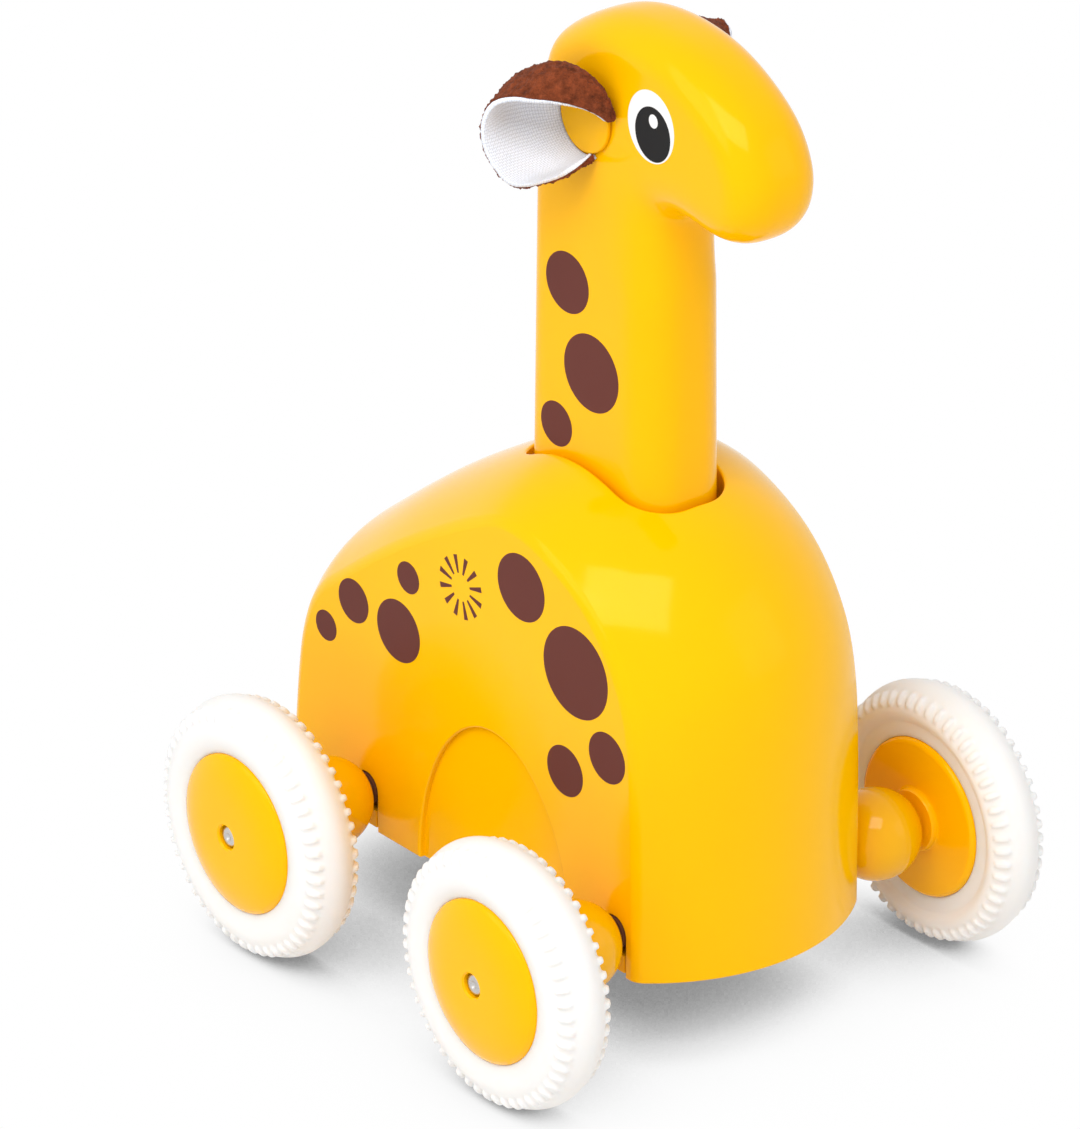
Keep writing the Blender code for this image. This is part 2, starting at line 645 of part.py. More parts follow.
def build_base_plate():
    """The bottom cover, inside the casing's edge, with the spring post, tongues and screw holes."""
    half = INNER_HALF - PLATE_EDGE_GAP
    front = -AXLE_Y - FRONT_OVERHANG + BODY_WALL + PLATE_EDGE_GAP
    rear = AXLE_Y + REAR_OVERHANG - BODY_WALL - PLATE_EDGE_GAP - BODY_EDGE / 2
    shares = [step / 4 for step in range(-4, 5)]
    outline = [(half * share, front - bulge_at(half * share)) for share in shares]
    outline += [(half * share, rear + bulge_at(half * share)) for share in reversed(shares)]
    screws = [*boss_places().values(), *foot_screw_places().values()]
    holes = [circle(SCREW_RADIUS + SEAT_GAP, centre, SCREW_SIDES) for centre in screws]
    mesh = outline_mesh("base_plate", outline, PLATE_BOTTOM, PLATE_TOP, holes)
    plate = place("base_plate", mesh, BASE_YELLOW)
    low = (PLATE_BOTTOM + PLATE_TOP) / 2
    post = post_mesh("spring_post", SPRING_POST_RADIUS, low, PLATE_TOP + SPRING_POST_HEIGHT)
    combine(plate, guide("spring_post", post, (0, SPRING_Y, 0)), "UNION")
    reach = slot_half_width() - TONGUE_GAP
    for end, y in (("front", -AXLE_Y), ("rear", AXLE_Y)):
        for side, sign in (("right", -1), ("left", 1)):
            name = f"tongue_{end}_{side}"
            tongue = outline_mesh(name, tongue_outline(sign), -reach, reach)
            combine(plate, guide(name, tongue, (0, y, 0), FACE_FRONT), "UNION")
    for index, (x, y) in enumerate(screws):
        sink_screw(plate, f"base_{index}", (x, y, PLATE_BOTTOM))


def add_screw(name, length, location, parent=ORIGIN):
    """A countersunk screw driven upwards, its head just inside the plate face at the location."""
    profile = (
        (0.0, length), (SCREW_RADIUS, length), (SCREW_RADIUS, SCREW_HEAD_HEIGHT),
        (SCREW_HEAD_RADIUS, 0.0), (0.0, 0.0),
    )
    x, y, z = location
    turned(name, profile, STEEL, SCREW_SIDES, (x, y, z + SCREW_SINK), (0, 0, 0), parent, closed=False)


def build_base_screws():
    """Screws through the base plate, into the casing's bosses and the gear plates' feet."""
    for name, (x, y) in boss_places().items():
        add_screw(f"base_screw_{name}", BASE_SCREW_LENGTH, (x, y, PLATE_BOTTOM))
    for name, (x, y) in foot_screw_places().items():
        add_screw(f"gear_plate_screw_{name}", FOOT_SCREW_LENGTH, (x, y, PLATE_BOTTOM))


def build_bushes():
    """Flanged bushes in the casing's axle holes."""
    inner = -BODY_SIDE_WALL - SEAT_GAP
    flange = BUSH_RADIUS + SEAT_GAP + BUSH_FLANGE
    profile = (
        (BORE_RADIUS, SEAT_GAP), (BUSH_RADIUS, SEAT_GAP), (BUSH_RADIUS, inner), (flange, inner),
        (flange, inner - BUSH_FLANGE_THICKNESS), (BORE_RADIUS, inner - BUSH_FLANGE_THICKNESS),
    )
    for end, y in (("front", -AXLE_Y), ("rear", AXLE_Y)):
        turned(f"axle_bush_{end}_right", profile, BUSH_BROWN, SMALL_SIDES, (-BODY_HALF, y, 0), FACE_RIGHT)
        turned(f"axle_bush_{end}_left", profile, BUSH_BROWN, SMALL_SIDES, (BODY_HALF, y, 0), FACE_LEFT)


def hub_profile():
    """A domed wheel hub with a recess for the rivet and a collar towards the bead."""
    face = HUB_WIDTH + HUB_DOME
    recess = AXLE_RADIUS + 2 * SEAT_GAP
    edge = HUB_RADIUS - HUB_EDGE
    dome = [(recess, face)]
    for share in (0.4, 0.7, 1.0):
        dome.append((edge * share, face - (HUB_DOME - HUB_EDGE) * share ** 2))
    return dome + [
        (HUB_RADIUS, HUB_WIDTH - HUB_EDGE), (HUB_RADIUS, HUB_EDGE), (edge, 0.0),
        (HUB_COLLAR_RADIUS, 0.0), (HUB_COLLAR_RADIUS, -HUB_COLLAR_HEIGHT),
        (BORE_RADIUS, -HUB_COLLAR_HEIGHT), (BORE_RADIUS, face - RIVET_RECESS_DEPTH),
        (recess, face - RIVET_RECESS_DEPTH),
    ]


def tyre_profile():
    """A plump tyre section with a flat seat on the hub."""
    seat = HUB_RADIUS + SEAT_GAP
    middle = (TYRE_RADIUS + seat) / 2
    reach = (TYRE_RADIUS - seat) / 2
    profile = []
    for step in range(TYRE_SECTION_SIDES):
        angle = math.pi - math.tau * step / TYRE_SECTION_SIDES
        power = 2 / TYRE_ROUNDNESS
        out = math.copysign(abs(math.cos(angle)) ** power, math.cos(angle))
        across = math.copysign(abs(math.sin(angle)) ** power, math.sin(angle))
        profile.append((middle + reach * out, TYRE_HALF_WIDTH * across))
    return profile


def bead_profile():
    """A ball with a hole along its axis."""
    start = math.asin(BORE_RADIUS / BEAD_RADIUS)
    sweep = math.pi - 2 * start
    angles = [start + sweep * step / BEAD_STEPS for step in range(BEAD_STEPS + 1)]
    return [(BEAD_RADIUS * math.sin(a), BEAD_RADIUS * math.cos(a)) for a in angles]


def build_wheels(end, y):
    """One axle with its two wheels and two beads, on an empty at the axle."""
    joint = add_empty(f"{end}_axle_joint", (0, y, 0), ORIGIN)
    tip = AXLE_RADIUS - AXLE_CHAMFER
    axle = (
        (0.0, AXLE_END), (tip, AXLE_END), (AXLE_RADIUS, AXLE_END - AXLE_CHAMFER),
        (AXLE_RADIUS, AXLE_CHAMFER - AXLE_END), (tip, -AXLE_END), (0.0, -AXLE_END),
    )
    turned(f"{end}_axle", axle, STEEL, SMALL_SIDES, (0, 0, 0), FACE_LEFT, joint, closed=False)
    for side, sign, turn in (("right", -1, FACE_RIGHT), ("left", 1, FACE_LEFT)):
        at_bead = (sign * BEAD_X, 0, 0)
        at_hub = (sign * HUB_X, 0, 0)
        at_tyre = (sign * TYRE_X, 0, 0)
        turned(f"bead_{end}_{side}", bead_profile(), BEAD_LACQUER, BEAD_SIDES, at_bead, turn, joint)
        turned(f"hub_{end}_{side}", hub_profile(), YELLOW, HUB_SIDES, at_hub, turn, joint)
        turned(f"tyre_{end}_{side}", tyre_profile(), TYRE_WHITE, TYRE_SIDES, at_tyre, turn, joint)
    return joint


def build_clutch_hub(joint):
    """The ratchet hub fixed on the rear axle beside the axle gear."""
    outline = []
    for tooth in range(CLUTCH_TEETH):
        angle = math.tau * tooth / CLUTCH_TEETH
        outline.append((CLUTCH_RADIUS * math.cos(angle), CLUTCH_RADIUS * math.sin(angle)))
        low = CLUTCH_RADIUS - CLUTCH_NOTCH
        after = angle + CLUTCH_UNDERCUT
        outline.append((low * math.cos(after), low * math.sin(after)))
        low = CLUTCH_RADIUS - CLUTCH_NOTCH / 2
        middle = angle + math.pi / CLUTCH_TEETH
        outline.append((low * math.cos(middle), low * math.sin(middle)))
    end = GEAR_START - SEAT_GAP
    mesh = outline_mesh("clutch_hub", outline, end - CLUTCH_WIDTH, end, [circle(BORE_RADIUS)])
    place("clutch_hub", mesh, NATURAL, (0, 0, 0), SIDEWAYS, joint)


def gear_outline(teeth, phase):
    """Involute teeth, one of them centred on the phase angle."""
    pitch = MODULE * teeth / 2
    base = pitch * math.cos(PRESSURE_ANGLE)
    root = pitch - DEDENDUM * MODULE
    tip = pitch + ADDENDUM * MODULE
    at_pitch = math.pi / (2 * teeth) - BACKLASH / (2 * pitch)
    at_base = at_pitch + math.tan(PRESSURE_ANGLE) - PRESSURE_ANGLE
    flank = []
    for radius in (root, max(base, root + MODULE / 8), (pitch + tip) / 2, tip):
        slope = math.acos(min(1.0, base / radius))
        flank.append((radius, at_base - math.tan(slope) + slope))
    outline = []
    for tooth in range(teeth):
        centre = phase + math.tau * tooth / teeth
        outline += [(radius, centre - half) for radius, half in flank]
        outline += [(radius, centre + half) for radius, half in reversed(flank)]
    return [(radius * math.cos(angle), radius * math.sin(angle)) for radius, angle in outline]


def idler_place():
    """Centre of the idler, above the line from the drive gear to the rear axle."""
    first = DRIVE_RADIUS + IDLER_RADIUS
    second = IDLER_RADIUS + AXLE_GEAR_RADIUS
    along = (first ** 2 - second ** 2 + IDLER_SPAN ** 2) / (2 * IDLER_SPAN)
    off = math.sqrt(first ** 2 - along ** 2)
    run = Vector((AXLE_Y - DRIVE_Y, -DRIVE_Z)) / IDLER_SPAN
    return Vector((DRIVE_Y, DRIVE_Z)) + run * along + Vector((-run.y, run.x)) * off


def gear_hub(name, material, joint, low, high):
    """A gear's hub tube, bored for its shaft."""
    bore = [circle(SHAFT_RADIUS + RUNNING_GAP)]
    mesh = outline_mesh(name, circle(GEAR_HUB_RADIUS), low, high, bore)
    return place(name, mesh, material, (0, 0, 0), SIDEWAYS, joint)


def add_gear_ring(hub, name, teeth, phase, low, high, centre):
    """Join a toothed ring to a gear's hub."""
    hole = [circle(GEAR_HUB_RADIUS - GEAR_HUB_OVERLAP)]
    mesh = outline_mesh(name, gear_outline(teeth, phase), low, high, hole)
    combine(hub, guide(name, mesh, (0, *centre), SIDEWAYS), "UNION")


def build_gears():
    """The drive gear, the idler and the axle gear, in mesh at rest."""
    drive = Vector((DRIVE_Y, DRIVE_Z))
    idler = idler_place()
    axle = Vector((AXLE_Y, 0.0))
    to_idler = math.atan2(*reversed(idler - drive))
    to_axle = math.atan2(*reversed(axle - idler))
    idler_phase = to_idler + math.pi + math.pi / IDLER_TEETH
    past = math.remainder(to_axle - idler_phase, math.tau / IDLER_TEETH)
    axle_phase = to_axle + math.pi + past * IDLER_TEETH / AXLE_GEAR_TEETH + math.pi / AXLE_GEAR_TEETH

    joint = add_empty("drive_gear_joint", (0, *drive), ORIGIN)
    hub = gear_hub("drive_gear", NATURAL, joint, RIGHT_HUB_END, LEFT_HUB_END)
    half = PINION_WIDTH / 2
    add_gear_ring(hub, "pinion_teeth", PINION_TEETH, math.pi, -half, half, drive)
    add_gear_ring(hub, "drive_teeth", DRIVE_TEETH, to_idler, GEAR_START, GEAR_END, drive)

    joint = add_empty("idler_gear_joint", (0, *idler), ORIGIN)
    hub = gear_hub("idler_gear", NATURAL, joint, RIGHT_HUB_END, LEFT_HUB_END)
    add_gear_ring(hub, "idler_teeth", IDLER_TEETH, idler_phase, GEAR_START, GEAR_END, idler)

    joint = add_empty("axle_gear_joint", (0, *axle), ORIGIN)
    outline = gear_outline(AXLE_GEAR_TEETH, axle_phase)
    mesh = outline_mesh("axle_gear", outline, GEAR_START, LEFT_HUB_END, [circle(BORE_RADIUS)])
    place("axle_gear", mesh, NATURAL, (0, 0, 0), SIDEWAYS, joint)


def build_gear_plates():
    """Two upright plates that carry the gear shafts, each with a foot on the base plate."""
    idler = idler_place()
    floor = PLATE_TOP + SEAT_GAP
    margin = GEAR_PLATE_MARGIN
    front = DRIVE_Y - margin + MODULE
    rear = max(AXLE_Y, idler.x) + margin
    outline = (
        (front, floor), (rear, floor), (rear, margin), (idler.x + margin, idler.y + margin),
        (DRIVE_Y + margin, DRIVE_Z + margin), (front, DRIVE_Z + margin),
    )
    fit = SHAFT_RADIUS + RUNNING_GAP
    holes = [circle(fit, (DRIVE_Y, DRIVE_Z)), circle(fit, idler)]
    holes.append(circle(BORE_RADIUS + SEAT_GAP, (AXLE_Y, 0.0)))
    screws = foot_screw_places()
    half = GEAR_PLATE_THICKNESS / 2
    for side, x, names in (
        ("right", RIGHT_PLATE_X, ("right_front", "right_rear")),
        ("left", LEFT_PLATE_X, ("left_front", "left_rear")),
    ):
        name = f"gear_plate_{side}"
        mesh = outline_mesh(name, outline, x - half, x + half, holes)
        plate = place(name, mesh, GREY, (0, 0, 0), SIDEWAYS)
        first, last = (screws[key] for key in names)
        overhang = FOOT_LENGTH / 4
        low = (first[0] - FOOT_WIDTH / 2, first[1] - overhang, floor)
        high = (x, last[1] + overhang, floor + FOOT_THICKNESS)
        combine(plate, guide(f"{name}_foot", box_mesh(f"{name}_foot", low, high)), "UNION")
        for key in names:
            top = PLATE_BOTTOM + SCREW_SINK + FOOT_SCREW_LENGTH + SEAT_GAP
            hole = post_mesh(f"foot_hole_{key}", SCREW_RADIUS + SEAT_GAP, PLATE_TOP, top, SCREW_SIDES)
            combine(plate, guide(f"foot_hole_{key}", hole, (*screws[key], 0)), "DIFFERENCE")


def build_shafts():
    """Fixed steel shafts of the drive gear and the idler."""
    low = RIGHT_PLATE_X - GEAR_PLATE_THICKNESS / 2
    high = LEFT_PLATE_X + GEAR_PLATE_THICKNESS / 2
    profile = ((0.0, high), (SHAFT_RADIUS, high), (SHAFT_RADIUS, low), (0.0, low))
    for name, (y, z) in (("drive_shaft", (DRIVE_Y, DRIVE_Z)), ("idler_shaft", idler_place())):
        turned(name, profile, STEEL, SMALL_SIDES, (0, y, z), FACE_LEFT, closed=False)


def rack_outline():
    """The rack bar seen from the side, its teeth facing the rear."""
    line = NECK_CENTRE + RACK_PITCH_LINE
    root = line - DEDENDUM * MODULE
    tip = line + ADDENDUM * MODULE
    bottom = DRIVE_Z - RACK_PITCH
    half = RACK_PITCH / 4 - BACKLASH / 2
    lean = math.tan(PRESSURE_ANGLE) * MODULE
    outline = [(root - RACK_BACK, bottom), (root, bottom)]
    for tooth in range(RACK_TEETH):
        centre = bottom + RACK_PITCH * (tooth + 0.5)
        at_root = half + lean * DEDENDUM
        at_tip = half - lean * ADDENDUM
        outline += [(root, centre - at_root), (tip, centre - at_tip)]
        outline += [(tip, centre + at_tip), (root, centre + at_root)]
    top = FLANGE_BOTTOM + FLANGE_THICKNESS / 2
    return outline + [(root, top), (root - RACK_BACK, top)]


def rack_screw_places():
    """Where the rack's flange is screwed up into the neck."""
    return {
        "front": (0.0, NECK_CENTRE + FRONT_RACK_SCREW),
        "rear": (0.0, NECK_CENTRE + REAR_RACK_SCREW),
    }


def build_press_rack(joint):
    """The flange under the neck, which the collar stops, with the rack bar hanging from it."""
    wide = NECK_HALF_WIDTH + NECK_SLOT_GAP + FLANGE_OVERLAP
    front = NECK_CENTRE + FLANGE_FRONT
    step = NECK_CENTRE + FLANGE_STEP
    tail = NECK_CENTRE + RACK_PITCH_LINE - DEDENDUM * MODULE
    outline = (
        (-wide, front), (wide, front), (wide, step), (FLANGE_TAIL_HALF, step), (FLANGE_TAIL_HALF, tail),
        (-FLANGE_TAIL_HALF, tail), (-FLANGE_TAIL_HALF, step), (-wide, step),
    )
    clearance = SCREW_RADIUS + SEAT_GAP
    holes = [circle(clearance, centre, SCREW_SIDES) for centre in rack_screw_places().values()]
    mesh = outline_mesh("press_rack", outline, FLANGE_BOTTOM, FLANGE_TOP, holes)
    rack = place("press_rack", mesh, NATURAL, parent=joint)
    bar = outline_mesh("rack_bar", rack_outline(), -RACK_WIDTH / 2, RACK_WIDTH / 2)
    combine(rack, guide("rack_bar", bar, (0, 0, 0), SIDEWAYS), "UNION")
    for end, (x, y) in rack_screw_places().items():
        sink_screw(rack, f"rack_{end}", (x, y, FLANGE_BOTTOM))
        add_screw(f"rack_screw_{end}", RACK_SCREW_LENGTH, (x, y, FLANGE_BOTTOM), joint)


def build_neck_head(joint):
    """The tapered neck and the rounded head in one piece, drilled for its screws and ear pegs."""
    levels = ((NECK_BOTTOM, 0.0), (HEAD_JOIN - NECK_TOP_EDGE, 0.0), (HEAD_JOIN, -NECK_TOP_EDGE))
    rings = [[(x, y, height) for x, y in neck_plan(height, gap)] for height, gap in levels]
    neck = place("neck_head", loft_mesh("neck_head", rings), LACQUER, parent=joint)
    line = [(NECK_CENTRE + along, up) for along, up in HEAD_LINE]
    outline = smooth_path(line, OUTLINE_STEPS, cyclic=True)
    edge = (HEAD_ROUND, HEAD_ROUND_INSET, HEAD_ROUND_STEPS)
    head = rounded_plate("head", outline, HEAD_HALF_WIDTH, *edge)
    combine(neck, guide("head", head), "UNION")
    for end, centre in rack_screw_places().items():
        top = FLANGE_BOTTOM + SCREW_SINK + RACK_SCREW_LENGTH + SEAT_GAP
        hole = post_mesh(f"rack_hole_{end}", SCREW_RADIUS + SEAT_GAP, FLANGE_BOTTOM, top, SCREW_SIDES)
        combine(neck, guide(f"rack_hole_{end}", hole, (*centre, 0)), "DIFFERENCE")
    for side, sign, turn in (("right", -1, FACE_RIGHT), ("left", 1, FACE_LEFT)):
        depth = EAR_SPIGOT_LENGTH + SEAT_GAP
        hole = post_mesh(f"peg_hole_{side}", EAR_SPIGOT_RADIUS + SEAT_GAP, -depth, depth)
        at_side = (sign * HEAD_HALF_WIDTH, EAR_Y, EAR_HEIGHT)
        combine(neck, guide(f"peg_hole_{side}", hole, at_side, turn), "DIFFERENCE")


def ear_sheet(sign):
    """The cloth of one ear: a grid bent round the peg, flared out to its rim."""
    around = smooth_path([(math.radians(row[0]), row[1], row[2]) for row in EAR_RIM], 2)
    bellies = smooth_path([(row[3], 0.0) for row in EAR_RIM], 2)
    start = EAR_PEG_RADIUS + SEAT_GAP + EAR_CLOTH / 2
    shape = bmesh.new()
    bmesh.ops.create_grid(shape, x_segments=len(around) - 1, y_segments=EAR_ROWS - 1, size=0.5)
    shape.verts.ensure_lookup_table()
    columns = len(around)
    for vert in shape.verts:
        column = round((vert.co.x + 0.5) * (columns - 1))
        share = vert.co.y + 0.5
        angle, depth, radius = around[column]
        swell = max(0.0, math.sin(math.pi * share)) ** EAR_BELLY_POWER
        reach = start + (radius - start) * share + bellies[column].x * swell
        out = HEAD_HALF_WIDTH + EAR_ROOT_GAP + depth * share
        y = EAR_Y - reach * math.cos(angle)
        z = EAR_HEIGHT + reach * math.sin(angle)
        vert.co = (sign * out, y, z)
    return finish_mesh("ear", shape)


def build_ears(joint):
    """Cloth ears wrapped round pegs that are pressed into the head."""
    spigot = -EAR_SPIGOT_LENGTH
    profile = (
        (0.0, EAR_PEG_HEIGHT), (EAR_PEG_RADIUS - EAR_PEG_EDGE, EAR_PEG_HEIGHT),
        (EAR_PEG_RADIUS, EAR_PEG_HEIGHT - EAR_PEG_EDGE), (EAR_PEG_RADIUS, SEAT_GAP),
        (EAR_SPIGOT_RADIUS, SEAT_GAP), (EAR_SPIGOT_RADIUS, spigot), (0.0, spigot),
    )
    for side, sign, turn in (("right", -1, FACE_RIGHT), ("left", 1, FACE_LEFT)):
        at_side = (sign * HEAD_HALF_WIDTH, EAR_Y, EAR_HEIGHT)
        turned(f"ear_peg_{side}", profile, LACQUER, SMALL_SIDES, at_side, turn, joint, closed=False)
        ear = place(f"ear_{side}", ear_sheet(sign), FELT, parent=joint)
        cloth = ear.modifiers.new("cloth", "SOLIDIFY")
        cloth.thickness = EAR_CLOTH
        cloth.offset = 0.0
        cloth.use_even_offset = False


def build_return_spring():
    """The coil between the base plate and the rack's flange."""
    low = PLATE_TOP + SEAT_GAP + SPRING_WIRE
    high = FLANGE_BOTTOM - SEAT_GAP - SPRING_WIRE
    count = SPRING_TURNS * SPRING_POINTS
    points = []
    for index in range(count + 1):
        angle = math.tau * index / SPRING_POINTS
        height = low + (high - low) * index / count
        points.append(Vector((SPRING_RADIUS * math.cos(angle), SPRING_RADIUS * math.sin(angle), height)))
    least = min((points[i + SPRING_POINTS] - points[i]).length for i in range(count - SPRING_POINTS))
    print(f"return_spring least gap to itself: {(least - 2 * SPRING_WIRE) * 1000:.2f} mm")
    curve = bpy.data.curves.new("return_spring", "CURVE")
    curve.dimensions = "3D"
    curve.bevel_depth = SPRING_WIRE
    curve.bevel_resolution = 1
    curve.use_fill_caps = True
    spline = curve.splines.new("POLY")
    spline.points.add(count)
    for target, point in zip(spline.points, points):
        target.co = (*point, 1.0)
    curve.materials.append(STEEL)
    spring = bpy.data.objects.new("return_spring", curve)
    spring.location = (0, SPRING_Y, 0)
    spring.parent = ORIGIN
    PARTS.objects.link(spring)


def build_toy():
    """Build every piece."""
    build_body_shell()
    build_base_plate()
    build_base_screws()
    build_bushes()
    build_wheels("front", -AXLE_Y)
    build_clutch_hub(build_wheels("rear", AXLE_Y))
    build_gears()
    build_gear_plates()
    build_shafts()
    neck_joint = add_empty("neck_joint", (0, 0, 0), ORIGIN)
    build_press_rack(neck_joint)
    build_neck_head(neck_joint)
    build_ears(neck_joint)
    build_return_spring()


build_toy()
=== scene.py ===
"""Looks of the giraffe press-and-go toy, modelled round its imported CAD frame.

Pieces are shaped from a datum midway between the axles, at axle height, and moved to their place at the end.
Lengths are in metres, +Z is up and the giraffe faces -Y, so its right side is -X.
"""

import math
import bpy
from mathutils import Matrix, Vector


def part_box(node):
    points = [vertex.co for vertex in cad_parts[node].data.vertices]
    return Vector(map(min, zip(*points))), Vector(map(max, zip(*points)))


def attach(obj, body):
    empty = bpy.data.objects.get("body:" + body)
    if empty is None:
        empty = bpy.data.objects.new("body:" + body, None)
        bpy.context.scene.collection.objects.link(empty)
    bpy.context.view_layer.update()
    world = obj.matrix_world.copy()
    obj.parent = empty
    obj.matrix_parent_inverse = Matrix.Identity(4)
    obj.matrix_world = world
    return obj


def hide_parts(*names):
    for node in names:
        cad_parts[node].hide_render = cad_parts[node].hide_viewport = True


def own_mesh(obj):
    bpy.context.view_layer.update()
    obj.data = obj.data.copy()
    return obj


bl_info = {
    "name": "Giraffe press-and-go toy",
    "version": (1, 0, 0),
    "blender": (4, 5, 0),
    "location": "3D View > Sidebar > Giraffe",
    "description": "Models the visible pieces of the toy round its CAD frame",
    "category": "Object",
}

import bmesh
import bpy
from bpy.props import FloatProperty, FloatVectorProperty, IntProperty, PointerProperty
from mathutils import Matrix, Vector, geometry, noise

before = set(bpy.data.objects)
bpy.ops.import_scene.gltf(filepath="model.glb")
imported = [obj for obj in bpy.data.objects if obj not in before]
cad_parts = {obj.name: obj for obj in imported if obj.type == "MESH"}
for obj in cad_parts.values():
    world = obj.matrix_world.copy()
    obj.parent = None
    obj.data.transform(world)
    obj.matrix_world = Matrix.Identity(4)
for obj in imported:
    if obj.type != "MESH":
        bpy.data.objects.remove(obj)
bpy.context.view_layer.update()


def middle(part):
    """Middle of a CAD node's box."""
    low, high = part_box(part)
    return (Vector(low) + Vector(high)) / 2


FRONT_AXLE = middle("front_axle")
REAR_AXLE = middle("rear_axle")
DATUM = (FRONT_AXLE + REAR_AXLE) / 2
AXLE_REACH = (REAR_AXLE.y - FRONT_AXLE.y) / 2
BODY_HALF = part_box("body_shell")[1][0]
BODY_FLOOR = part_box("body_shell")[0][2] - DATUM.z
AXLE_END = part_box("front_axle")[1][0]
HUB_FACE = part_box("hub_front_left")[1][0]
HUB_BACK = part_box("hub_front_left")[0][0]
TYRE_X = middle("tyre_front_left").x
BEAD_X = middle("bead_front_left").x
BEAD_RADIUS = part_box("bead_front_left")[1][2] - DATUM.z
PEG = middle("ear_peg_left") - DATUM
PEG_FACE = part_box("ear_peg_left")[1][0]
PEG_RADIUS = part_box("ear_peg_left")[1][2] - DATUM.z - PEG.z
NECK_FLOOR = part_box("neck_head")[0][2] - DATUM.z
SPRING = middle("return_spring")
SPRING_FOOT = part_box("return_spring")[0][2]
SPRING_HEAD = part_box("return_spring")[1][2]

MIRROR = Matrix.Scale(-1, 4, (1, 0, 0))
SIDES = (("left", Matrix.Identity(4)), ("right", MIRROR))
ENDS = (("front", -AXLE_REACH), ("rear", AXLE_REACH))

# Side outline of the casing: along and up, from the front axle, the neck and the rear axle
FRONT_OVERHANG = 0.0057
REAR_OVERHANG = 0.0221
FRONT_LINE = ((-0.0053, 0.0225), (-0.0037, 0.0388), (0.0003, 0.049), (0.0074, 0.0574))
NECK_LINE = ((-0.0101, 0.0631), (0.0009, 0.0658), (0.0108, 0.0632))
REAR_LINE = ((-0.0106, 0.0516), (0.0068, 0.0393), (0.014, 0.0332), (0.0178, 0.0257), (0.0199, 0.0151))
CASING_WALL = 0.0028
CASING_SIDE_WALL = 0.003

# Grain of the casing: steps in each span of its outline, round its edge and across
SKIN_STEPS = 6
SLOT_STEPS = 16
HOLLOW_STEPS = 3
EDGE_STEPS = 8
ACROSS_STEPS = 16
HOLLOW_ACROSS = 4

# Middle of the neck, its slot, and the patch of crown round the slot that is replaced by rings
NECK_Y = -0.0073
SLOT_HEIGHT = 0.071
SLOT_PATCH_HALF = 0.0165
SLOT_PATCH_FRONT = -0.0335
SLOT_PATCH_BACK = 0.0185
SLOT_RINGS = 4
LIP_DIGITS = 7
COLLAR_FLOOR = 0.0493
COLLAR_TOP = 0.09
COLLAR_WALL = 0.002

# Openings in the flat sides, and how far their cutters reach past what they cut
AXLE_SLOT_HALF = 0.0032
AXLE_SLOT_EDGE = 0.6
AXLE_SLOT_STEPS = 40
ARCH_INSET = 0.01375
ARCH_TOP = 0.025
ARCH_SHIFT = -0.0015
ARCH_STEPS = 64
CUT_BELOW = 0.003
CUT_INSIDE = 0.001
CUT_OUTSIDE = 0.001
HOLLOW_BELOW = 0.004
FLARE_TURN = math.radians(75)
FLARE_STEPS = 6

# Outline of the head: along from the neck's middle, and up
HEAD_LINE = (
    (0.0136, 0.1221), (0.0162, 0.1285), (0.0163, 0.1360), (0.0152, 0.1432), (0.0118, 0.1487),
    (0.0018, 0.1543), (-0.0082, 0.1559), (-0.0195, 0.1544), (-0.0290, 0.1503), (-0.0368, 0.1441),
    (-0.0409, 0.1361), (-0.0404, 0.1290), (-0.0365, 0.1244), (-0.0297, 0.1230), (-0.0187, 0.1240),
    (-0.0060, 0.1205), (0.0072, 0.1195),
)
HEAD_SPAN_STEPS = 8
HEAD_EDGE_STEPS = 12

# Neck: its corners, taper and ends, and the rounds of smoothing that melt it into the head
NECK_TOP = 0.134
NECK_TAPER = 0.011
NECK_FRONT_CORNER = 0.0075
NECK_BACK_CORNER = 0.005
NECK_CORNER_LIMIT = 0.95
NECK_CORNER_STEPS = 10
NECK_FOOT_EDGE = 0.0004
NECK_TOP_EDGE = 0.004
JOINT_SMOOTHING = 24
THROAT_SMOOTHING = 400
SKIN_SMOOTHING = 12

# Where the throat is melted: axis, where that starts and where it is full
THROAT_RAMPS = ((1, -0.040, -0.028), (1, 0.0057, -0.0003), (2, 0.108, 0.114), (2, 0.142, 0.132))

# Cloth round the ear peg, from the front over the top: degrees, rim depth, rim radius, belly
EAR_RIM = (
    (14, 0.0018, 0.0073, 0.0006), (29, 0.0038, 0.00705, 0.0018), (47, 0.0068, 0.0067, 0.0030),
    (66, 0.0094, 0.0061, 0.0037), (91, 0.0118, 0.0057, 0.0038), (121, 0.0134, 0.0064, 0.0031),
    (148, 0.0146, 0.0076, 0.0033), (172, 0.0152, 0.0084, 0.0034), (202, 0.0153, 0.0092, 0.0016),
    (232, 0.0152, 0.0090, 0.0008), (255, 0.0143, 0.0096, 0.0004), (265, 0.0122, 0.0097, 0.0003),
    (270, 0.0094, 0.0095, 0.0002), (276, 0.0058, 0.0089, 0.0001), (283, 0.0028, 0.0075, 0.0000),
    (289, 0.0006, 0.0061, 0.0000),
)
EAR_CLOTH = 0.0012
EAR_PEG_GAP = 0.0003
EAR_ROOT_GAP = 0.0004
EAR_BELLY_POWER = 1.5
EAR_LIFT_POWER = 3
EAR_TRIM = 0.0002
EAR_END_FADE = 0.2
EAR_STEPS = 16
EAR_ROWS = 72

# Waves of the ear's ragged rim (count, seed and share), and tufts of its felt (fineness and share)
RIM_WAVES = ((11, 3.0, 1.0), (37, 7.0, 0.7))
RIM_STRETCH = 2
FELT_TUFTS = ((1000, 1.0), (2600, 0.9))

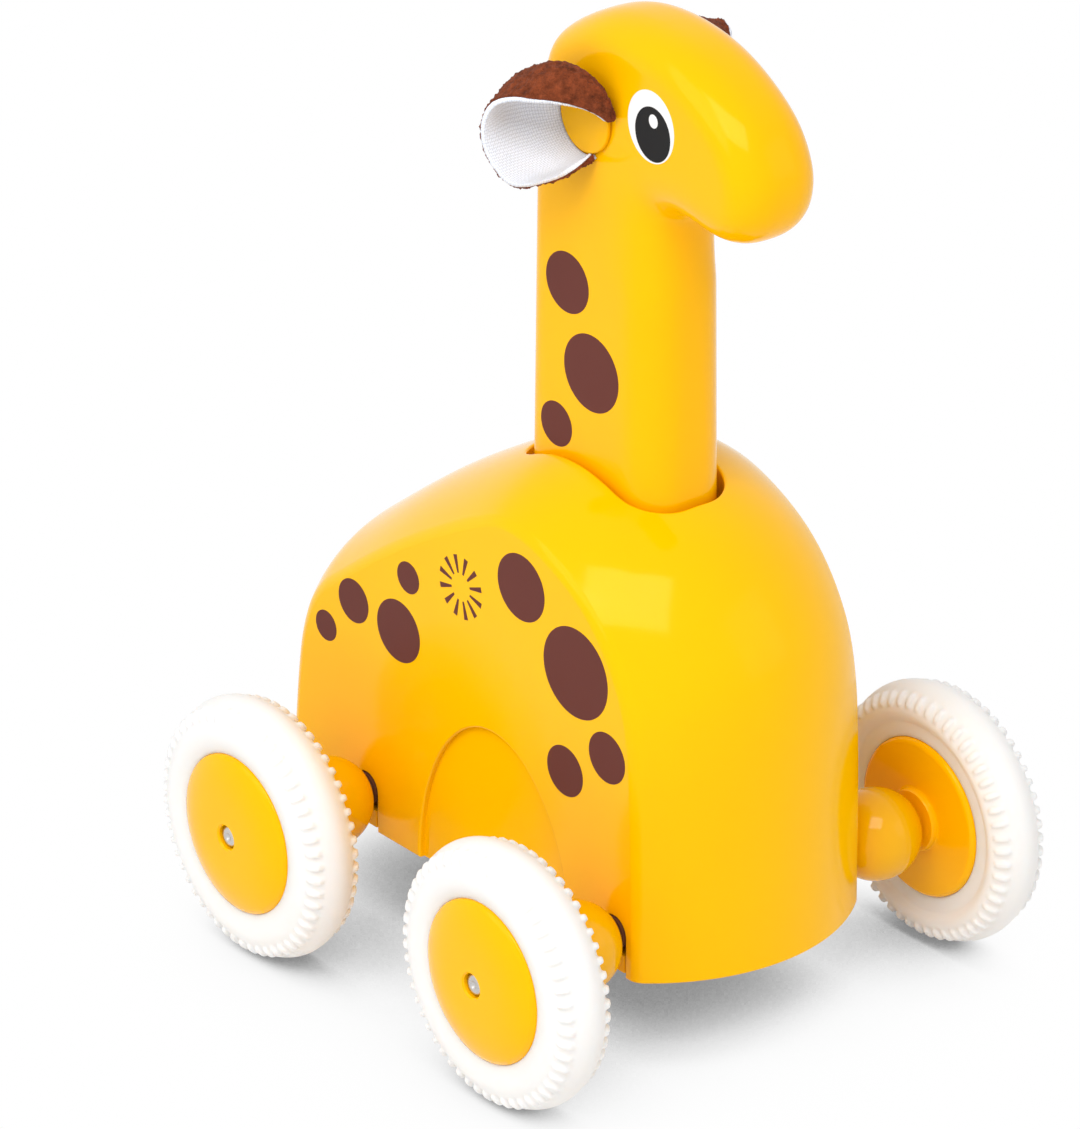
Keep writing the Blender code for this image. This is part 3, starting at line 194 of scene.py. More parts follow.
# Teeth of the tyre, and its section: radius, and distance from its middle plane towards the outer side
TOOTH_INNER = 0.0206
TOOTH_OUTER = 0.0227
TOOTH_STEPS = 4
TOOTH_SHARE = 0.5
TOOTH_LEAN = (0.657, 0.754)
TYRE_SECTION = (
    (0.0147, -0.0030), (0.0147, 0.0045), (0.01471, 0.00495), (0.0149, 0.00505), (0.0158, 0.00545),
    (0.0170, 0.0058), (0.0183, 0.0059), (0.0194, 0.00575), (0.0201, 0.0054), (TOOTH_INNER, 0.0051),
    (TOOTH_OUTER, 0.0033), (0.0232, 0.0026), (0.0236, 0.0018), (0.0239, 0.0009), (0.0240, 0.0),
    (0.0239, -0.0009), (0.0236, -0.0018), (0.0232, -0.0026), (TOOTH_OUTER, -0.0033), (TOOTH_INNER, -0.0051),
    (0.0201, -0.0053), (0.0195, -0.0054), (0.0188, -0.0052), (0.0182, -0.0048), (0.0178, -0.00445),
    (0.0175, -0.0043), (0.0171, -0.0043), (0.0160, -0.0043), (0.0149, -0.00425), (0.01471, -0.0042),
)

# Hub: domed face with a recess, rim past the dome, and collar on its back as radius and height
HUB_RADIUS = 0.01472
HUB_EDGE = 0.001
HUB_DOME = 0.0022
HUB_DOME_POWER = 4
HUB_DOME_STEPS = 16
HUB_EDGE_STEPS = 6
HUB_STEPS = 96
HUB_RECESS = 0.0022
HUB_RECESS_DEPTH = 0.0016
HUB_LIP = 0.0003
HUB_RIM = ((-0.0001, -0.0001), (0.0, -0.0004))
HUB_COLLAR = ((0.0062, 0.0), (0.0058, -0.0002), (0.0057, -0.001))
HUB_COLLAR_END = 0.0055
HUB_COLLAR_HEIGHT = 0.0013

# Bore for the axles, and the riveted end of an axle: radius and distance from the end
AXLE_BORE = 0.00215
AXLE_STEPS = 40
AXLE_NOSE = (
    (0.0, -0.0005), (0.0004, -0.00045), (0.0007, -0.0001), (0.0009, 0.0),
    (0.0014, -0.00005), (0.0018, -0.0002), (0.00197, -0.0005), (0.002, -0.0009),
)

# Grain of the beads
BEAD_ARC_STEPS = 36
BEAD_STEPS = 72

# Ear peg: crown of its face, edge and stem
PEG_CROWN = 0.00006
PEG_CROWN_INNER = (0.6, 0.00002)
PEG_EDGE = 0.0003
PEG_STEM = 0.003
PEG_STEM_DEPTH = 0.0045
PEG_EDGE_STEPS = 5
PEG_STEPS = 64

# Printed marks on each side, from the datum: along, up and half width
BODY_SPOTS = (
    (0.0459, 0.0278, 0.0030), (0.0378, 0.0356, 0.0043), (0.0220, 0.0459, 0.0031), (0.0249, 0.0346, 0.0061),
    (-0.0095, 0.0557, 0.0064), (-0.0243, 0.0452, 0.00865), (-0.0215, 0.0256, 0.00485),
    (-0.0328, 0.0325, 0.00485),
)
NECK_SPOTS = ((-0.0021, 0.1053, 0.00575), (-0.0087, 0.0908, 0.0073), (0.0006, 0.0783, 0.00425))
SPOT_FLATNESS = 0.955
PRINT_SINK = 0.00006
DISC_POINTS = 72
DISC_RINGS = 3

# Parts of the eye: along, up, half width and half height
EYE_WHITE = (-0.0238, 0.1403, 0.0060, 0.00637)
EYE_PUPIL = (-0.0243, 0.1391, 0.00455, 0.0048)
EYE_GLINT = (-0.0245, 0.1415, 0.00113, 0.0012)

# Ring of rays: its middle, and the reach and half width of a ray's ends
RAY_RING = (0.0072, 0.0496)
RAY_COUNT = 12
RAY_START = (0.0026, 0.0002)
RAY_END = (0.0059, 0.00052)

# Spring: radius of its coil, closed turns at each end, and their pitch in thicknesses of wire
SPRING_TURNS = 11
SPRING_STEPS = 32
SPRING_COIL = 0.0055
SPRING_END_TURNS = 1.2
SPRING_END_PITCH = 1.04
WIRE_POINTS = 12

# Screw: radius and height of its head, shank, tip and cross recess, and how far its copies are turned
SCREW_HEAD = ((0.0, 0.0), (0.0019, 0.0), (0.0021, 0.00006), (0.0022, 0.0002), (0.0012, 0.0012))
SCREW_SHANK = 0.0012
SCREW_TIP = (0.0006, 0.0008)
SCREW_CROSS = (0.0026, 0.00055, 0.0014)
SCREW_STEPS = 32
SCREW_TURN_ACROSS = 0.7
SCREW_TURN_ALONG = 20

# Rounded edges of the bottom cover
BASE_EDGE = 0.0002
BASE_EDGE_ANGLE = math.radians(40)

# Camera and lights, each light with its place, width and depth
SENSOR_WIDTH = 36.0
SOFTBOX = ((-0.734, -0.695, 1.43), 1.3, 0.85)
FRONT_FILL = ((0.9, -1.4, 0.7), 0.9, 0.9)
SIDE_FILL = ((-1.15, 0.1, 0.9), 1.0, 0.9)
LIGHT_AIM = Vector((0.0, 0.0, 0.06))

# Floor, and how its painted soft shadow fades with the open view of the sky
FLOOR_SIZE = 8.0
FLOOR_GREY = 0.92
SHADOW_REACH = 0.13
SHADOW_POWER = 5.2
SHADOW_DEPTH = 1.58
SHADOW_LEAST = 0.24

# Angles past which an edge stays sharp, or up to which faces count as flat, and reach of a merge
SMOOTH_ANGLE = math.radians(32)
ROUND_ANGLE = math.radians(50)
FLAT_ANGLE = math.radians(1)
WELD = 0.000001

# Finishes by name, filled when they are mixed
FINISHES = {}


def length(name, description, default):
    """A size setting."""
    return FloatProperty(
        name=name, description=description, default=default, min=0.0, precision=5, unit="LENGTH"
    )


def colour(name, description, default):
    """A colour setting, in scene-linear values."""
    return FloatVectorProperty(
        name=name, description=description, default=(*default, 1.0), size=4, min=0.0, max=1.0, subtype="COLOR"
    )


def power(name, description, default):
    """A light setting."""
    return FloatProperty(name=name, description=description, default=default, min=0.0)


class GiraffeSizes(bpy.types.PropertyGroup):
    """Sizes of the modelled pieces."""

    crown_bulge: length("Crown bulge", "How far the crown stands out of the side outline", 0.0098)
    side_round: length("Side edge", "Round of the edge between crown and flat side", 0.0012)
    lip_round: length("Slot lip", "Round of the neck slot's lip", 0.0007)
    rim_round: length("Bottom rim", "Round of the casing's bottom edge", 0.0005)
    arch_depth: length("Arch depth", "Depth of the belly arch", 0.0012)
    arch_round: length("Arch edge", "Round of the edges of arches and axle slots", 0.0005)
    neck_half_width: length("Neck half width", "Half the neck's width at the slot", 0.0094)
    neck_half_depth: length("Neck half depth", "Half the neck's depth at the slot", 0.0173)
    neck_gap: length("Slot gap", "Gap between neck and slot", 0.0012)
    head_half_width: length("Head half width", "Half the width of the head", 0.009)
    head_round: length("Head round", "How far the head's edges are rounded across", 0.0078)
    head_inset: length("Head inset", "How far the head's edges are rounded in its side", 0.006)
    remesh_grain: length("Neck grain", "Grid size that melts neck and head into one", 0.00045)
    tooth_height: length("Tooth height", "Height of the tyre's teeth", 0.0009)
    tooth_count: IntProperty(name="Teeth", description="Teeth in each row of a tyre", default=54, min=8)
    felt: length("Felt", "Thickness of the ear's felt", 0.0004)
    lining: length("Lining", "Thickness of the ear's lining", 0.0008)
    left_lift: length("Left ear lift", "How much higher the left ear's rim stands at its top", 0.0033)
    ragged: length("Ragged rim", "Unevenness of the ear's cut rim", 0.00012)
    fuzz: length("Fuzz", "Unevenness of the felt's nap", 0.00036)
    print_height: length("Print", "Height of the printed marks over the surface", 0.00004)
    wire: length("Spring wire", "Radius of the spring's wire", 0.0006)


class GiraffeColours(bpy.types.PropertyGroup):
    """Colours of the finishes."""

    casing: colour("Casing", "Moulded casing", (1.0, 0.522, 0.0))
    neck: colour("Neck", "Lacquered neck and head", (1.0, 0.497, 0.0))
    hub: colour("Hubs", "Moulded hubs", (1.0, 0.49, 0.0))
    # The pegs are a little darker than the head, partly as painted shade from the ear round each peg
    peg: colour("Pegs", "Ear pegs", (0.95, 0.47, 0.0))
    bead: colour("Beads", "Lacquered beads", (0.88, 0.44, 0.0))
    base: colour("Base", "Bottom cover", (1.0, 0.5, 0.0))
    tyre: colour("Tyres", "Soft tyres", (0.868, 0.858, 0.842))
    felt: colour("Felt", "Ear felt", (0.192, 0.044, 0.0152))
    lining: colour("Lining", "Ear lining", (0.85, 0.89, 0.98))
    print_brown: colour("Print", "Printed spots", (0.132, 0.037, 0.028))
    eye_white: colour("Eye white", "Printed white of the eye", (0.88, 0.86, 0.85))
    eye_black: colour("Pupil", "Printed pupil", (0.016, 0.015, 0.015))
    steel: colour("Steel", "Axles, shafts, screws and spring", (0.60, 0.58, 0.56))
    # Axle bushes are dark brown; their darkness is partly painted shade for the axle holes they sit in
    bush: colour("Bushes", "Axle bushes", (0.12, 0.048, 0.026))
    acetal: colour("Acetal", "Gears and rack", (0.80, 0.78, 0.72))
    plate: colour("Gear plates", "Plates that carry the gears", (0.17, 0.17, 0.18))


class GiraffeStage(bpy.types.PropertyGroup):
    """Camera and light."""

    camera_place: FloatVectorProperty(
        name="Camera", description="Where the camera stands", default=(-0.74062, -0.91684, 0.62658),
        subtype="TRANSLATION", unit="LENGTH",
    )
    camera_turn: FloatVectorProperty(
        name="Camera turn", description="Where the camera points",
        default=(math.radians(64.79), 0.0, math.radians(-38.54)), subtype="EULER", unit="ROTATION",
    )
    focal: FloatProperty(name="Lens", description="Focal length", default=239.63, min=1.0, unit="CAMERA")
    ambient: power("Ambient", "Light from all round", 0.60)
    overhead: power("Overhead", "Power of the overhead softbox", 15.5)
    fill: power("Front fill", "Power of the front fill", 1.4)
    side: power("Side fill", "Power of the fill on the right flank", 4.8)


def show_only(piece):
    """Make a piece the only one selected, and active."""
    bpy.ops.object.select_all(action="DESELECT")
    piece.select_set(True)
    bpy.context.view_layer.objects.active = piece


def open_piece(piece):
    """Open a piece in edit mode with nothing picked."""
    show_only(piece)
    bpy.ops.object.mode_set(mode="EDIT")
    bpy.ops.mesh.select_mode(type="VERT")
    bpy.ops.mesh.select_all(action="DESELECT")


def close_piece():
    """Back to object mode."""
    bpy.ops.object.mode_set(mode="OBJECT")


def edit_all(piece, *actions):
    """Run edit-mode actions in turn, each with the whole piece picked."""
    open_piece(piece)
    for action in actions:
        bpy.ops.mesh.select_all(action="SELECT")
        action()
    close_piece()


def merge():
    """Merge doubled points of the open piece."""
    bpy.ops.mesh.remove_doubles(threshold=WELD)


def close_holes():
    """Close every hole of the open piece."""
    bpy.ops.mesh.fill_holes(sides=0)


def face_outwards():
    """Turn the picked faces of the open piece outwards."""
    bpy.ops.mesh.normals_make_consistent(inside=False)


def pick(piece, kind, test):
    """Pick the points, edges or faces of the open piece that pass a test."""
    bpy.ops.mesh.select_mode(type=kind)
    bpy.ops.mesh.select_all(action="DESELECT")
    shape = bmesh.from_edit_mesh(piece.data)
    items = {"VERT": shape.verts, "EDGE": shape.edges, "FACE": shape.faces}[kind]
    items.ensure_lookup_table()
    for item in items:
        if test(item):
            item.select_set(True)
    bmesh.update_edit_mesh(piece.data)


def move_picked(piece, place):
    """Move each picked point of the open piece to the place worked out from it."""
    shape = bmesh.from_edit_mesh(piece.data)
    for vert in shape.verts:
        if vert.select:
            vert.co = place(vert.co)
    bmesh.update_edit_mesh(piece.data)


def clean(piece):
    """Merge doubled points, drop loose ones and turn the faces outwards."""
    edit_all(piece, merge, bpy.ops.mesh.delete_loose, face_outwards)


def rename(piece, name):
    """Name a piece and its mesh alike."""
    piece.name = name
    piece.data.name = name
    return piece


def add(primitive, name, **values):
    """Add a primitive with everything else deselected, and name it."""
    bpy.ops.object.select_all(action="DESELECT")
    primitive(**values)
    return rename(bpy.context.object, name)


def join(pieces, name):
    """Join pieces into one."""
    show_only(pieces[0])
    for piece in pieces[1:]:
        piece.select_set(True)
    if len(pieces) > 1:
        bpy.ops.object.join()
    return rename(pieces[0], name)


def grid_piece(name, rows):
    """A grid primitive with its points moved onto rows of places."""
    across = len(rows[0]) - 1
    along = len(rows) - 1
    piece = add(
        bpy.ops.mesh.primitive_grid_add, name, x_subdivisions=across, y_subdivisions=along, size=1.0
    )
    for vert in piece.data.vertices:
        column = round((vert.co.x + 0.5) * across)
        row = round((vert.co.y + 0.5) * along)
        vert.co = rows[row][column]
    return piece


def ring_piece(name, rings):
    """A closed form skinned over rings of equal count."""
    piece = grid_piece(name, [[*ring, ring[0]] for ring in rings])
    edit_all(piece, merge, close_holes)
    clean(piece)
    return piece


def grown_piece(name, loop, stations):
    """A closed form over a loop in Y and Z, at places along X, each grown to the right of the loop's run."""
    normals = []
    for index in range(len(loop)):
        run = (loop[(index + 1) % len(loop)] - loop[index - 1]).normalized()
        normals.append(Vector((run.y, -run.x)))
    rings = []
    for x, grow in stations:
        rings.append([(x, *(point + normal * grow)) for point, normal in zip(loop, normals)])
    return ring_piece(name, rings)


def turned_piece(name, profile, steps):
    """A closed profile of radius and X spun about the X axis."""
    piece = add(bpy.ops.mesh.primitive_circle_add, name, vertices=len(profile), fill_type="NOTHING")
    for vert, (radius, x) in zip(piece.data.vertices, profile):
        vert.co = (x, 0.0, radius)
    edit_all(
        piece, lambda: bpy.ops.mesh.spin(steps=steps, angle=math.tau, center=(0, 0, 0), axis=(1, 0, 0))
    )
    clean(piece)
    return piece


def apply(piece, kind, **values):
    """Add a modifier with its values and apply it."""
    show_only(piece)
    modifier = piece.modifiers.new(kind.lower(), kind)
    for key, value in values.items():
        setattr(modifier, key, value)
    bpy.ops.object.modifier_apply(modifier=modifier.name)


def cut(piece, other, operation="DIFFERENCE"):
    """Cut a form out of a piece, or join it on, and drop the form."""
    apply(piece, "BOOLEAN", operation=operation, solver="EXACT", object=other)
    bpy.data.objects.remove(other)


def smooth(piece, angle=SMOOTH_ANGLE):
    """Shade a piece smooth, with edges past an angle kept sharp and flat faces kept flat."""
    show_only(piece)
    bpy.ops.object.shade_smooth_by_angle(angle=angle)
    apply(piece, "WEIGHTED_NORMAL", keep_sharp=True, weight=50)


def smooth_all_over(piece):
    """Shade a piece smooth, with no sharp edge."""
    show_only(piece)
    bpy.ops.object.shade_smooth()


def copy_piece(piece, name, matrix):
    """A copy with its own mesh, moved or mirrored in its mesh."""
    twin = piece.copy()
    twin.data = piece.data.copy()
    rename(twin, name)
    bpy.context.scene.collection.objects.link(twin)
    twin.data.transform(matrix)
    if matrix.determinant() < 0:
        twin.data.flip_normals()
    return twin


def hand_over(piece, body, finish, nodes=()):
    """Move a finished piece from the datum to its place, and tie it to its finish and its CAD body."""
    show_only(piece)
    piece.location = DATUM
    bpy.ops.object.transform_apply(location=True, rotation=True, scale=True)
    piece.data.materials.clear()
    piece.data.materials.append(FINISHES[finish])
    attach(piece, body)
    if nodes:
        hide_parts(*nodes)


def smooth_path(points, per_span, cyclic=False):
    """A Catmull-Rom curve through the points, with a fixed count of steps in each span."""
    count = len(points)
    path = []
    for span in range(count if cyclic else count - 1):
        if cyclic:
            four = [points[(span + shift) % count] for shift in (-1, 0, 1, 2)]
        else:
            four = [points[min(max(span + shift, 0), count - 1)] for shift in (-1, 0, 1, 2)]
        before, start, end, after = (Vector(point) for point in four)
        for step in range(per_span):
            t = step / per_span
            path.append(
                start
                + (end - before) * (0.5 * t)
                + (before * 2 - start * 5 + end * 4 - after) * (0.5 * t * t)
                + (start * 3 - before - end * 3 + after) * (0.5 * t * t * t)
            )
    if not cyclic:
        path.append(Vector(points[-1]))
    return path


def quarter_turn(steps):
    """Sine and cosine at even steps of a quarter turn."""
    angles = [math.pi / 2 * step / steps for step in range(steps + 1)]
    return [(math.sin(angle), math.cos(angle)) for angle in angles]


class CasingForm:
    """The bulged form of the casing: a side outline pushed out along its normals."""

    def __init__(self, sizes, steps):
        points = [(-AXLE_REACH - FRONT_OVERHANG, BODY_FLOOR)]
        points += [(-AXLE_REACH + along, up) for along, up in FRONT_LINE]
        points += [(NECK_Y + along, up) for along, up in NECK_LINE]
        points += [(AXLE_REACH + along, up) for along, up in REAR_LINE]
        points.append((AXLE_REACH + REAR_OVERHANG, BODY_FLOOR))
        self.path = smooth_path(points, steps)
        self.bulge = sizes.crown_bulge
        self.radius = (BODY_HALF ** 2 + self.bulge ** 2) / (2 * self.bulge)
        self.normals = []
        last = len(self.path) - 1
        for index in range(last + 1):
            run = (self.path[min(index + 1, last)] - self.path[max(index - 1, 0)]).normalized()
            self.normals.append(Vector((-run.y, run.x)))
        self.normals[0] = Vector((-1.0, 0.0))
        self.normals[-1] = Vector((1.0, 0.0))

    def row(self, x, grow, floor):
        """The outline at a distance from the middle, grown past the bulge, ending on a floor."""
        reach = self.bulge - self.radius + math.sqrt(self.radius ** 2 - x ** 2) + grow
        line = [(x, *(point + normal * reach)) for point, normal in zip(self.path, self.normals)]
        line[0] = (x, line[0][1], floor)
        line[-1] = (x, line[-1][1], floor)
        return line

    def height(self, x, y):
        """Height of the crown over a plan point."""
        line = self.row(x, 0.0, BODY_FLOOR)
        for (_, y0, z0), (_, y1, z1) in zip(line, line[1:]):
            if y0 <= y < y1 and z0 > SLOT_HEIGHT / 2:
                return z0 + (z1 - z0) * (y - y0) / (y1 - y0)
        raise ValueError(f"no crown over {x:.4f}, {y:.4f}")


def neck_plan(sizes, height, gap=0.0):
    """The neck's plan at a height, grown by a gap: a rectangle with rounder corners at the front."""
    narrowing = (height - SLOT_HEIGHT) * NECK_TAPER
    deep = sizes.neck_half_depth - narrowing + gap
    wide = sizes.neck_half_width - narrowing * sizes.neck_half_width / sizes.neck_half_depth + gap
    front = min(NECK_FRONT_CORNER + gap, wide * NECK_CORNER_LIMIT)
    back = min(NECK_BACK_CORNER + gap, wide * NECK_CORNER_LIMIT)
    corners = (
        (wide - front, front - deep, front, -math.pi / 2), (wide - back, deep - back, back, 0.0),
        (back - wide, deep - back, back, math.pi / 2), (front - wide, front - deep, front, math.pi),
    )
    plan = []
    for x, y, radius, start in corners:
        for step in range(NECK_CORNER_STEPS + 1):
            angle = start + math.pi / 2 * step / NECK_CORNER_STEPS
            plan.append((x + radius * math.cos(angle), NECK_Y + y + radius * math.sin(angle)))
    return plan


def plan_reach(plan, angle):
    """How far a plan reaches from the neck's middle in a direction."""
    start = Vector((0.0, NECK_Y))
    end = start + Vector((math.cos(angle), math.sin(angle)))
    for near, far in zip(plan, plan[1:] + plan[:1]):
        hit = geometry.intersect_line_line_2d(start, end, Vector(near), Vector(far))
        if hit:
            return (hit - start).length
    raise ValueError(f"no plan edge at {angle:.3f}")


def arch_outline(middle_y, half, foot, rise, steps):
    """Half an ellipse that opens down past the bottom edge, counterclockwise in Y and Z."""
    outline = []
    for step in range(steps + 1):
        angle = math.pi * step / steps
        outline.append((half * math.cos(angle), foot + rise * math.sin(angle)))
    floor = BODY_FLOOR - CUT_BELOW
    outline += [(-half, floor), (half, floor)]
    return [Vector((y + middle_y, z)) for y, z in outline]


def side_cutter(outline, inner, edge, sign):
    """A cutter from inside the casing out of a flat side, its mouth flared for a round edge."""
    stations = [(inner, 0.0)]
    for step in range(FLARE_STEPS + 1):
        angle = FLARE_TURN * step / FLARE_STEPS
        stations.append((BODY_HALF - edge + edge * math.sin(angle), edge * (1 - math.cos(angle))))
    stations.append((BODY_HALF + CUT_OUTSIDE, stations[-1][1] + CUT_OUTSIDE * math.tan(FLARE_TURN)))
    return grown_piece("cutter", outline, [(sign * x, grow) for x, grow in stations])


class GIRAFFE_OT_casing(bpy.types.Operator):
    """Model the casing with its crown, neck slot, belly arches and axle slots"""

    bl_idname = "giraffe.casing"
    bl_label = "Casing"

    def execute(self, context):
        sizes = context.scene.giraffe_sizes
        form = CasingForm(sizes, SKIN_STEPS)
        edge = sizes.side_round
        shoulder = BODY_HALF - edge
        stations = []
        for sine, cosine in reversed(quarter_turn(EDGE_STEPS)[1:]):
            stations.append((shoulder + edge * sine, edge * (cosine - 1)))
        stations += [(shoulder * (1 - step / ACROSS_STEPS), 0.0) for step in range(ACROSS_STEPS + 1)]
        stations = [(-x, grow) for x, grow in stations] + list(reversed(stations[:-1]))
        casing = grid_piece("casing", [form.row(x, grow, BODY_FLOOR) for x, grow in stations])
        self.open_slot(casing, form, stations, sizes)
        self.close_sides(casing, sizes)
        self.hollow(casing, sizes)
        self.cut_sides(casing, sizes)
        smooth(casing)
        hand_over(casing, "chassis", "casing_yellow", ["body_shell"])
        return {"FINISHED"}

    def open_slot(self, casing, form, stations, sizes):
        """Replace part of the crown by rings that run in to the neck slot, and sink the slot."""
        plan = neck_plan(sizes, SLOT_HEIGHT, sizes.neck_gap)
        fine = CasingForm(sizes, SLOT_STEPS)
        edge = sizes.side_round + WELD
        count = len(form.path)
        near = [index for index, (x, _) in enumerate(stations) if abs(x) < SLOT_PATCH_HALF]
        over = [index for index, (_, y, z) in enumerate(form.row(0.0, 0.0, BODY_FLOOR))
                if SLOT_PATCH_FRONT < y < SLOT_PATCH_BACK and z > SLOT_HEIGHT / 2]

        def near_slot(item):
            """Whether a face lies in the patch that is replaced."""
            return all(
                near[0] <= vert.index // count <= near[-1] and over[0] <= vert.index % count <= over[-1]
                for vert in item.verts
            )

        def step_in(share):
            """A move that takes a point of the crown a share of its way in to the slot."""
            def place(co):
                offset = Vector((co.x, co.y - NECK_Y))
                angle = math.atan2(offset.y, offset.x)
                offset += offset.normalized() * (plan_reach(plan, angle) - offset.length) * share
                y = NECK_Y + offset.y
                return (offset.x, y, fine.height(offset.x, y))
            return place

        def spot(vert):
            """A point's place, rounded so that it is found again."""
            return tuple(round(value, LIP_DIGITS) for value in vert.co)

        open_piece(casing)
        pick(casing, "FACE", near_slot)
        bpy.ops.mesh.delete(type="FACE")
        pick(casing, "EDGE", lambda item: item.is_boundary and all(
            abs(vert.co.x) < BODY_HALF - edge and vert.co.z > SLOT_HEIGHT / 2 for vert in item.verts))
        for ring in range(SLOT_RINGS):
            bpy.ops.mesh.extrude_edges_move()
            move_picked(casing, step_in(1 / (SLOT_RINGS - ring)))
        lip = {spot(vert) for vert in bmesh.from_edit_mesh(casing.data).verts if vert.select}
        bpy.ops.mesh.extrude_edges_move()
        move_picked(casing, lambda co: (co.x, co.y, COLLAR_FLOOR - COLLAR_WALL))
        bpy.ops.mesh.edge_face_add()
        pick(casing, "EDGE", lambda item: all(spot(vert) in lip for vert in item.verts))
        bpy.ops.mesh.bevel(offset=sizes.lip_round, segments=6, affect="EDGES")
        close_piece()

    def close_sides(self, casing, sizes):
        """Close the flat sides and the bottom, and round the bottom rim."""
        open_piece(casing)
        for sign in (-1, 1):
            pick(casing, "EDGE", lambda item: item.is_boundary and all(
                abs(vert.co.x - sign * BODY_HALF) < WELD for vert in item.verts))
            bpy.ops.mesh.edge_face_add()
        pick(casing, "EDGE", lambda item: item.is_boundary)
        bpy.ops.mesh.edge_face_add()
        bpy.ops.mesh.select_all(action="SELECT")
        face_outwards()
        pick(casing, "EDGE", lambda item: all(abs(vert.co.z - BODY_FLOOR) < WELD for vert in item.verts))
        bpy.ops.mesh.bevel(offset=sizes.rim_round, segments=4, affect="EDGES")
        close_piece()

    def hollow(self, casing, sizes):
        """Empty the casing, leaving its wall and the collar that guides the neck."""
        form = CasingForm(sizes, HOLLOW_STEPS)
        inner = BODY_HALF - CASING_SIDE_WALL
        floor = BODY_FLOOR - HOLLOW_BELOW
        places = [inner * step / HOLLOW_ACROSS for step in range(-HOLLOW_ACROSS, HOLLOW_ACROSS + 1)]
        core = ring_piece("core", [form.row(x, -CASING_WALL, floor) for x in places])
        plan = neck_plan(sizes, SLOT_HEIGHT, sizes.neck_gap + COLLAR_WALL)
        collar = ring_piece("collar", [[(x, y, z) for x, y in plan] for z in (COLLAR_FLOOR, COLLAR_TOP)])
        cut(core, collar)
        cut(casing, core)

    def cut_sides(self, casing, sizes):
        """Sink the belly arches and cut the axle slots."""
        arch = arch_outline(
            ARCH_SHIFT, AXLE_REACH - ARCH_INSET, BODY_FLOOR, ARCH_TOP - BODY_FLOOR, ARCH_STEPS
        )
        openings = [(arch, BODY_HALF - sizes.arch_depth, sizes.arch_round)]
        for _, along in ENDS:
            slot = arch_outline(along, AXLE_SLOT_HALF, 0.0, AXLE_SLOT_HALF, AXLE_SLOT_STEPS)
            inner = BODY_HALF - CASING_SIDE_WALL - CUT_INSIDE
            openings.append((slot, inner, sizes.arch_round * AXLE_SLOT_EDGE))
        for sign in (-1, 1):
            for outline, inner, edge in openings:
                cut(casing, side_cutter(outline, inner, edge, sign))


class GIRAFFE_OT_neck(bpy.types.Operator):
    """Model the neck and head, melted into one lacquered piece"""

    bl_idname = "giraffe.neck"
    bl_label = "Neck and head"

    def execute(self, context):
        sizes = context.scene.giraffe_sizes
        levels = (
            (NECK_FLOOR, -NECK_FOOT_EDGE), (NECK_FLOOR + NECK_FOOT_EDGE, 0.0),
            (NECK_TOP - NECK_TOP_EDGE, 0.0), (NECK_TOP, -NECK_TOP_EDGE),
        )
        rings = [[(x, y, z) for x, y in neck_plan(sizes, z, gap)] for z, gap in levels]
        neck = ring_piece("neck_and_head", rings)
        cut(neck, self.head(sizes), "UNION")
        apply(neck, "REMESH", mode="VOXEL", voxel_size=sizes.remesh_grain)
        apply(neck, "SMOOTH", factor=0.5, iterations=JOINT_SMOOTHING)
        self.melt_throat(neck)
        apply(neck, "REMESH", mode="VOXEL", voxel_size=sizes.remesh_grain)
        apply(neck, "SMOOTH", factor=0.5, iterations=SKIN_SMOOTHING)
        smooth_all_over(neck)
        hand_over(neck, "neck", "neck_lacquer", ["neck_head"])
        return {"FINISHED"}

    def head(self, sizes):
        """The head: a plate of the head's outline with edges rounded to an ellipse."""
        points = [(NECK_Y + along, up) for along, up in HEAD_LINE]
        outline = smooth_path(points, HEAD_SPAN_STEPS, cyclic=True)
        flat = sizes.head_half_width - sizes.head_round
        stations = []
        for sine, cosine in quarter_turn(HEAD_EDGE_STEPS):
            stations.append((flat + sizes.head_round * sine, -sizes.head_inset * (1 - cosine)))
        stations = [(-x, grow) for x, grow in reversed(stations)] + stations
        return grown_piece("head", outline, stations)

    def melt_throat(self, neck):
        """Run the head softly into the neck."""
        throat = neck.vertex_groups.new(name="throat")
        for vert in neck.data.vertices:
            weight = 1.0
            for axis, none, full in THROAT_RAMPS:
                weight *= min(1.0, max(0.0, (vert.co[axis] - none) / (full - none)))
            throat.add([vert.index], weight, "REPLACE")
        apply(neck, "SMOOTH", factor=0.5, iterations=THROAT_SMOOTHING, vertex_group="throat")
        neck.vertex_groups.clear()


def on_all_wheels(piece, kind, finish):
    """Copy a left front wheel's piece to the four wheels."""
    for end, along in ENDS:
        for side, matrix in SIDES:
            part = f"{kind}_{end}_{side}"
            twin = copy_piece(piece, f"{part}_look", Matrix.Translation((0, along, 0)) @ matrix)
            hand_over(twin, f"{end}_axle", finish, [part])
    bpy.data.objects.remove(piece)


